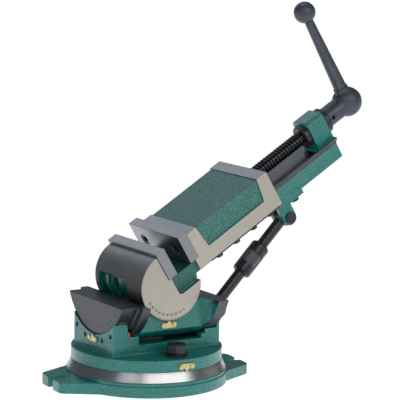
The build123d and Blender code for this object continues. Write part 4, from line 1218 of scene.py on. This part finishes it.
@dataclass
class Rocker:
    """The cradle that rolls in the swivel body, with the roll scale on its left end."""

    graduation: bpy.types.NodeTree
    journal_radius_mm: float = 77.4
    round_radii_mm: tuple[float, ...] = (77.4, 83.0, 89.5)
    trough_radius_mm: float = 45.9
    block_left_mm: float = -43.4
    right_top_mm: float = 40.0
    right_flange_mm: float = 59.8
    right_ends_mm: tuple[float, float] = (75.8, 80.2)
    top_band_mm: float = 6.5
    level_mm: float = 0.4
    rim_mm: float = 0.8
    number_radius_mm: float = 68.0
    roll_range: int = 60

    @cached_property
    def box(self) -> tuple[Vector, Vector]:
        """The cradle's lowest and highest corner, in metres."""
        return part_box("cradle")

    def below_top(self, place: Vector) -> float:
        """Millimetres from a place up to the level of the cradle's top."""
        return (self.box[1].z - place.z) / MM

    def on_top(self, place: Vector, normal: Vector) -> bool:
        """True on the level top."""
        return normal.z > FACES_IT and self.below_top(place) < self.level_mm

    def on_right_top(self, place: Vector, normal: Vector) -> bool:
        """True on the top of the right part, which takes the paler milled grey as painted light."""
        return place.x / MM > self.right_top_mm and self.on_top(place, normal)

    def in_trough(self, place: Vector, normal: Vector) -> bool:
        """True in the round trough that the drum turns in."""
        near = abs(tilt_reach(place) - self.trough_radius_mm) < NEAR_MM
        return near and abs(normal.y) < SQUARE_TO_IT

    def on_band(self, place: Vector, _normal: Vector) -> bool:
        """True on the bare band below the top of the right part."""
        return place.x / MM > self.right_flange_mm and self.below_top(place) < self.top_band_mm

    def beside_block(self, place: Vector) -> bool:
        """True to the left and to the right of the block."""
        return not self.block_left_mm <= place.x / MM <= self.right_flange_mm

    def on_round(self, place: Vector, normal: Vector) -> bool:
        """True on the rounds of the journals and flanges."""
        near = any(abs(roll_reach(place) - radius) < NEAR_MM for radius in self.round_radii_mm)
        return self.beside_block(place) and near and abs(normal.x) < SQUARE_TO_IT

    def on_left_step(self, place: Vector, normal: Vector) -> bool:
        """True on the flat ends and steps of the left part."""
        return place.x / MM < self.block_left_mm and abs(normal.x) > FACES_IT

    def on_right_end(self, place: Vector, normal: Vector) -> bool:
        """True on the flat ends of the right part."""
        nearest, farthest = self.right_ends_mm
        return nearest < place.x / MM < farthest and normal.x > FACES_IT

    def build(self) -> None:
        """Dresses the cradle and what is fixed to it, and engraves its scale."""
        machined = (
            self.on_top,
            self.in_trough,
            self.on_band,
            self.on_round,
            self.on_left_step,
            self.on_right_end,
        )
        rules = [
            # The right part's top takes the paler milled grey: painted light
            FaceRule(MILLED, (self.on_right_top,)),
            FaceRule(TURNED_CRADLE, machined),
            FaceRule(ENAMEL, (everywhere,)),
        ]
        low, high = self.box
        band = (Vector((0, 0, high.z - self.top_band_mm * MM)), Vector((0, 0, 1)))
        dress("cradle", "rocker", rules, edge_mm=0.6, cuts=[band])
        plain("tilt_pointer", "rocker", BRASS, edge_mm=0.25)
        plain("tilt_pointer_rivets", "rocker", BRASS, edge_mm=0.25)
        plain("lower_strut_pin", "rocker", BLACKED, edge_mm=0.6)
        centre = Vector(joint("cradle_roll")["pos_m"])
        centre.x = low.x
        Scale(
            name="roll_scale",
            body="rocker",
            place=placement(centre, Vector((0, -1, 0)), Vector((-1, 0, 0))),
            radius_mm=self.journal_radius_mm - self.rim_mm,
            number_radius_mm=self.number_radius_mm,
            first=-self.roll_range,
            last=self.roll_range,
            direction=1,
        ).build(self.graduation)


@dataclass
class TiltingBed:
    """The bed casting with its drum, rails and block, and the fixed jaw plate."""

    axes: BedAxes
    graduation: bpy.types.NodeTree
    drum_radius_mm: float = 45.8
    disc_half_mm: float = 60.9
    skin_mm: float = 0.3
    land_over_mm: float = 0.1
    seat_half_mm: float = 20.0
    seat_foot_mm: float = 9.5
    rail_ends_mm: tuple[float, float] = (46.0, 298.2)
    rail_foot_mm: float = -8.6
    faces_end: float = 0.9
    pocket_ends_mm: tuple[float, float] = (5.0, 48.0)
    pocket_half_mm: float = 60.4
    pocket_top_mm: float = 12.0
    rim_mm: float = 0.8
    number_radius_mm: float = 38.0
    tilt_range: int = 90

    def on_disc(self, place: Vector, normal: Vector) -> bool:
        """True on the flat sides of the drum."""
        return abs(self.axes.local(place).y) > self.disc_half_mm - self.skin_mm and abs(normal.y) > FACES_IT

    def on_land(self, place: Vector, normal: Vector) -> bool:
        """True on the drum's round lands."""
        near = -NEAR_MM < tilt_reach(place) - self.drum_radius_mm < self.land_over_mm
        return near and abs(normal.y) < SQUARE_TO_IT

    def at_seat(self, place: Vector) -> bool:
        """True from the foot of the fixed plate's seat up."""
        spot = self.axes.local(place)
        return abs(spot.x) < self.seat_half_mm and spot.z > self.seat_foot_mm

    def on_seat(self, place: Vector, normal: Vector) -> bool:
        """True on the fixed plate's seat."""
        facing = self.axes.turn(normal)
        return self.at_seat(place) and (abs(facing.x) > FACES_IT or facing.z > FACES_IT)

    def at_rails(self, place: Vector) -> bool:
        """True from the foot of the rails up, between their ends."""
        spot, (start, end) = self.axes.local(place), self.rail_ends_mm
        return start < spot.x < end and spot.z > self.rail_foot_mm

    def on_way(self, place: Vector, normal: Vector) -> bool:
        """True on the ways that the jaw slides on, but not on their ends."""
        return self.at_rails(place) and abs(self.axes.turn(normal).x) < self.faces_end

    def in_recess(self, place: Vector, normal: Vector) -> bool:
        """True in the drum's recess."""
        return tilt_reach(place) < self.drum_radius_mm - NEAR_MM and abs(normal.y) < FACES_IT

    def in_pocket(self, place: Vector, _normal: Vector) -> bool:
        """True in the pocket below the jaw plates."""
        spot, (start, end) = self.axes.local(place), self.pocket_ends_mm
        return start < spot.x < end and abs(spot.y) < self.pocket_half_mm and spot.z < self.pocket_top_mm

    def build(self) -> None:
        """Dresses the bed and what is fixed to it, and engraves the tilt scale."""
        rules = [
            # The drum's flat sides take the pale warm turned iron: painted light
            FaceRule(TURNED_DRUM, (self.on_disc,)),
            FaceRule(TURNED_LAND, (self.on_land,)),
            FaceRule(MILLED, (self.on_seat,)),
            FaceRule(WORN_WAY, (self.on_way,)),
            # Pockets and the drum's recess take the darker enamel: painted shade
            FaceRule(POCKET_SHADE_ENAMEL, (self.in_recess, self.in_pocket)),
            FaceRule(ENAMEL, (everywhere,)),
        ]
        dress("bed", "tilting_bed", rules, edge_mm=0.6)
        plain("fixed_jaw_plate", "tilting_bed", GROUND_PLATE, edge_mm=0.5)
        plain("fixed_plate_screws", "tilting_bed", BLACKED)
        plain("bearing_bush", "tilting_bed", BRONZE, edge_mm=0.0)
        plain("pad_screws", "tilting_bed", BLACKED, edge_mm=0.6)
        plain("upper_strut_pin", "tilting_bed", BLACKED, edge_mm=0.6)
        front = self.axes.point(0, -self.disc_half_mm, 0)
        Scale(
            name="tilt_scale",
            body="tilting_bed",
            place=placement(front, self.axes.along, Vector((0, -1, 0))),
            radius_mm=self.drum_radius_mm - self.rim_mm,
            number_radius_mm=self.number_radius_mm,
            first=0,
            last=self.tilt_range,
            direction=-1,
        ).build(self.graduation)


@dataclass
class SlidingJaw:
    """The moving jaw with its plate, keepers and nut."""

    axes: BedAxes
    half_width_mm: float = 57.6
    top_mm: float = 44.0
    recess_ends_mm: tuple[float, float] = (71.0, 182.8)
    recess_foot_mm: float = 10.0
    skin_mm: float = 0.1
    side_rim_mm: float = 4.0
    side_from_mm: float = 50.0
    top_from_mm: float = 40.0

    def in_recess(self, place: Vector, _normal: Vector) -> bool:
        """Tells whether a face lies in the cast recesses of the sides and the top.

        Args:
            place: Middle of the face, in metres.
            _normal: The way it faces. Walls and floors count alike.

        Returns:
            True inside a recess.
        """
        spot, (start, end) = self.axes.local(place), self.recess_ends_mm
        inside = start < spot.x < end and spot.z > self.recess_foot_mm
        sunk = spot.z < self.top_mm - self.skin_mm and abs(spot.y) < self.half_width_mm - self.skin_mm
        outer = abs(spot.y) > self.side_from_mm or spot.z > self.top_from_mm
        return inside and sunk and outer

    def in_top(self, place: Vector, normal: Vector) -> bool:
        """True in the recess of the top, which takes the greyer enamel with its painted reflection."""
        inner = abs(self.axes.local(place).y) < self.half_width_mm - self.side_rim_mm
        return inner and self.in_recess(place, normal)

    def on_side(self, _place: Vector, normal: Vector) -> bool:
        """True on the upright sides."""
        return abs(normal.y) > FACES_IT

    def build(self) -> None:
        """Dresses the jaw, with enamel in its recesses, and what is fixed to it."""
        rules = [
            # The jaw's top recess takes the greyer enamel: a painted reflection
            FaceRule(TOP_SHEEN_ENAMEL, (self.in_top,)),
            FaceRule(RECESS_ENAMEL, (self.in_recess,)),
            # The upright sides take the paler, warmer milled iron: painted light
            FaceRule(MILLED_LIT_SIDE, (self.on_side,)),
            FaceRule(MILLED, (everywhere,)),
        ]
        dress("moving_jaw", "sliding_jaw", rules, edge_mm=0.5)
        plain("moving_jaw_plate", "sliding_jaw", GROUND_PLATE, edge_mm=0.5)
        plain("moving_plate_screws", "sliding_jaw", BLACKED)
        plain("keepers", "sliding_jaw", BLACKED, edge_mm=0.4)
        plain("keeper_screws", "sliding_jaw", BLACKED, edge_mm=0.4)
        plain("screw_nut", "sliding_jaw", BRONZE, edge_mm=0.0)


@dataclass
class ScrewAndCrank:
    """The lead screw with its thread and collars, and the ball crank."""

    axes: BedAxes
    thread: bpy.types.NodeTree
    pitch_mm: float = 5.0
    outer_radius_mm: float = 10.0
    depth_mm: float = 2.0
    sunk_mm: float = 0.02
    foot_share: float = 0.62
    crest_share: float = 0.34
    screw_height_mm: float = 23.0
    core_sides: int = 48
    steps_a_turn: int = 40

    def build(self) -> None:
        """Dresses the crank's solids and makes the threaded screw."""
        start, end = self.axes.span("lead_screw")
        collar = self.axes.span("inner_collar")[0]
        self.core(start, end)
        self.crest(start + self.pitch_mm / 2, collar - self.pitch_mm / 2)
        plain("inner_collar", "screw_and_crank", BLACKED, edge_mm=0.5)
        plain("outer_collar", "screw_and_crank", BLACKED, edge_mm=0.3)
        plain("crank_hub", "screw_and_crank", BLACK_CASTING, edge_mm=0.8)
        plain("crank_lever", "screw_and_crank", BLACK_CASTING, edge_mm=0.4)
        plain("ball_knob", "screw_and_crank", BLACK_CASTING, edge_mm=0.3)
        plain("hub_pin", "screw_and_crank", BLACK_CASTING, edge_mm=0.2)

    def along_screw(self, along_mm: float) -> Matrix:
        """A placement on the screw's axis, its Z along the screw."""
        spot = self.axes.point(along_mm, 0, self.screw_height_mm)
        return placement(spot, Vector((0, 1, 0)), self.axes.along)

    def core(self, start: float, end: float) -> None:
        """The core of the screw, as thick as the foot of its thread.

        Args:
            start: Its lower end along the rails, in millimetres.
            end: Its upper end.
        """
        radius = (self.outer_radius_mm - self.depth_mm) * MM
        length = (end - start) * MM
        work = bmesh.new()
        bmesh.ops.create_cone(
            work, cap_ends=True, segments=self.core_sides, radius1=radius, radius2=radius, depth=length
        )
        mesh = bpy.data.meshes.new("lead_screw_core")
        work.to_mesh(mesh)
        work.free()
        mesh.transform(self.along_screw((start + end) / 2))
        mesh.materials.append(OILED_SCREW.build())
        core = finished_object("lead_screw_core", mesh)
        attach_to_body(core, "screw_and_crank")
        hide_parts("lead_screw")

    def crest(self, start: float, end: float) -> None:
        """The crest of the left-hand thread.

        Args:
            start: Where it starts along the rails, in millimetres.
            end: Where it ends.
        """
        values = {
            "Turns": (end - start) / self.pitch_mm,
            "Steps": self.steps_a_turn,
            "Length": (end - start) * MM,
            "Radius": (self.outer_radius_mm - self.depth_mm / 2 - self.sunk_mm) * MM,
            "Foot": self.foot_share * self.pitch_mm * MM,
            "Crest": self.crest_share * self.pitch_mm * MM,
            "Height": self.depth_mm * MM,
            "Left Hand": True,
            "Finish": OILED_SCREW.build(),
        }
        crest = run_tree(self.thread, "lead_screw_thread", values, self.along_screw(start))
        attach(crest, "screw_and_crank")


@dataclass
class Strut:
    """The turnbuckle strut: two eye rods and the nut between them."""

    def build(self) -> None:
        """Dresses the strut's solids."""
        plain("lower_eye_rod", "lower_rod", BLACKED, edge_mm=0.5)
        plain("turnbuckle_nut", "buckle", BLACKED, edge_mm=0.5)
        plain("buckle_retainer", "buckle", BLACKED, edge_mm=0.0)
        plain("upper_eye_rod", "upper_rod", BLACKED, edge_mm=0.5)


@dataclass(frozen=True)
class Lamp:
    """One soft box that faces the vise."""

    name: str
    place_m: tuple[float, float, float]
    size_m: tuple[float, float]
    watts: float
    colour: str
    aim_m: tuple[float, float, float] = (0.05, 0.0, 0.2)

    def build(self) -> None:
        """Puts the soft box in the scene."""
        data = bpy.data.lights.new(self.name, "AREA")
        data.shape = "RECTANGLE"
        data.size, data.size_y = self.size_m
        data.energy = self.watts
        data.color = linear(self.colour)[:3]
        lamp = bpy.data.objects.new(self.name, data)
        place = Vector(self.place_m)
        aim = Vector(self.aim_m) - place
        lamp.matrix_world = Matrix.Translation(place) @ aim.to_track_quat("-Z", "Y").to_matrix().to_4x4()
        bpy.context.scene.collection.objects.link(lamp)


@dataclass
class Studio:
    """The floor, the lights and the camera of the photograph."""

    camera_mm: tuple[float, float, float] = (-1354.44, -2239.48, 656.54)
    yaw_degrees: float = -32.65
    pitch_degrees: float = -8.96
    roll_degrees: float = 1.14
    lens_mm: float = 180.0
    sensor_mm: float = 36.0
    floor_half_m: float = 30.0
    air: float = 0.17
    lamps: tuple[Lamp, ...] = (
        Lamp("key", (1.35, -2.1, 1.0), (1.0, 0.9), 2.4, "#FFF6EA"),
        Lamp("strip", (-1.9, -1.1, 1.9), (1.3, 0.45), 4.0, "#F6FAFF"),
        Lamp("front", (0.1, -2.4, 1.8), (3.4, 1.2), 32.0, "#FFFAF5"),
        Lamp("right", (2.7, -0.4, 0.9), (1.6, 1.2), 1.5, "#FFFCF8"),
        Lamp("back", (0.4, 2.4, 1.6), (1.6, 1.0), 5.0, "#EEF4FF"),
        Lamp("top", (0.2, 0.7, 2.5), (1.8, 1.8), 13.0, "#F4F8FF"),
        Lamp("left", (-2.6, -0.2, 0.8), (1.2, 1.0), 0.8, "#F4F8FF"),
    )

    def camera(self) -> None:
        """The camera fitted to the photograph."""
        yaw, pitch, roll = map(math.radians, (self.yaw_degrees, self.pitch_degrees, self.roll_degrees))
        forward = Vector((-math.sin(yaw) * math.cos(pitch), math.cos(yaw) * math.cos(pitch), math.sin(pitch)))
        level_right = forward.cross(Vector((0, 0, 1))).normalized()
        level_up = level_right.cross(forward)
        right = level_right * math.cos(roll) + level_up * math.sin(roll)
        data = bpy.data.cameras.new("photo_camera")
        data.lens = self.lens_mm
        data.sensor_width = self.sensor_mm
        data.clip_end = 100.0
        camera = bpy.data.objects.new("photo_camera", data)
        camera.matrix_world = placement(Vector(self.camera_mm) * MM, right, -forward)
        bpy.context.scene.collection.objects.link(camera)
        bpy.context.scene.camera = camera

    def floor(self) -> None:
        """A wide pale floor at the base's underside."""
        work = bmesh.new()
        bmesh.ops.create_grid(work, x_segments=1, y_segments=1, size=self.floor_half_m)
        mesh = bpy.data.meshes.new("floor")
        work.to_mesh(mesh)
        work.free()
        mesh.materials.append(PAPER.build())
        floor = bpy.data.objects.new("floor", mesh)
        bpy.context.scene.collection.objects.link(floor)

    def lights(self) -> None:
        """The soft boxes and the dim air of the studio."""
        for lamp in self.lamps:
            lamp.build()
        world = bpy.data.worlds.new("studio")
        bpy.context.scene.world = world
        world.use_nodes = True
        tree = world.node_tree
        tree.nodes.clear()
        seen = add_node(tree, "ShaderNodeLightPath")
        backdrop = add_node(tree, "ShaderNodeBackground", {"Color": linear("#FFFFFF"), "Strength": 1.0})
        air = add_node(tree, "ShaderNodeBackground", {"Color": linear("#D9DEE4"), "Strength": self.air})
        mix = add_node(
            tree,
            "ShaderNodeMixShader",
            links={0: seen.outputs["Is Camera Ray"], 1: air.outputs[0], 2: backdrop.outputs[0]},
        )
        add_node(tree, "ShaderNodeOutputWorld", links={"Surface": mix.outputs[0]})
        bpy.context.scene.view_settings.view_transform = "Standard"

    def build(self) -> None:
        """Sets up the floor, the lights and the camera."""
        self.floor()
        self.lights()
        self.camera()
        log.info("set up the studio: %d lamps", len(self.lamps))


def main() -> None:
    """Builds the sub-assemblies in order, from the base up."""
    logging.basicConfig(level=logging.INFO, format="%(message)s")
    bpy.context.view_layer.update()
    axes = BedAxes.from_joints()
    graduation = graduation_tree()
    Base(graduation).build()
    Swivel().build()
    Rocker(graduation).build()
    TiltingBed(axes, graduation).build()
    SlidingJaw(axes).build()
    ScrewAndCrank(axes, thread_tree()).build()
    Strut().build()
    Studio().build()


if __name__ == "__main__":
    main()
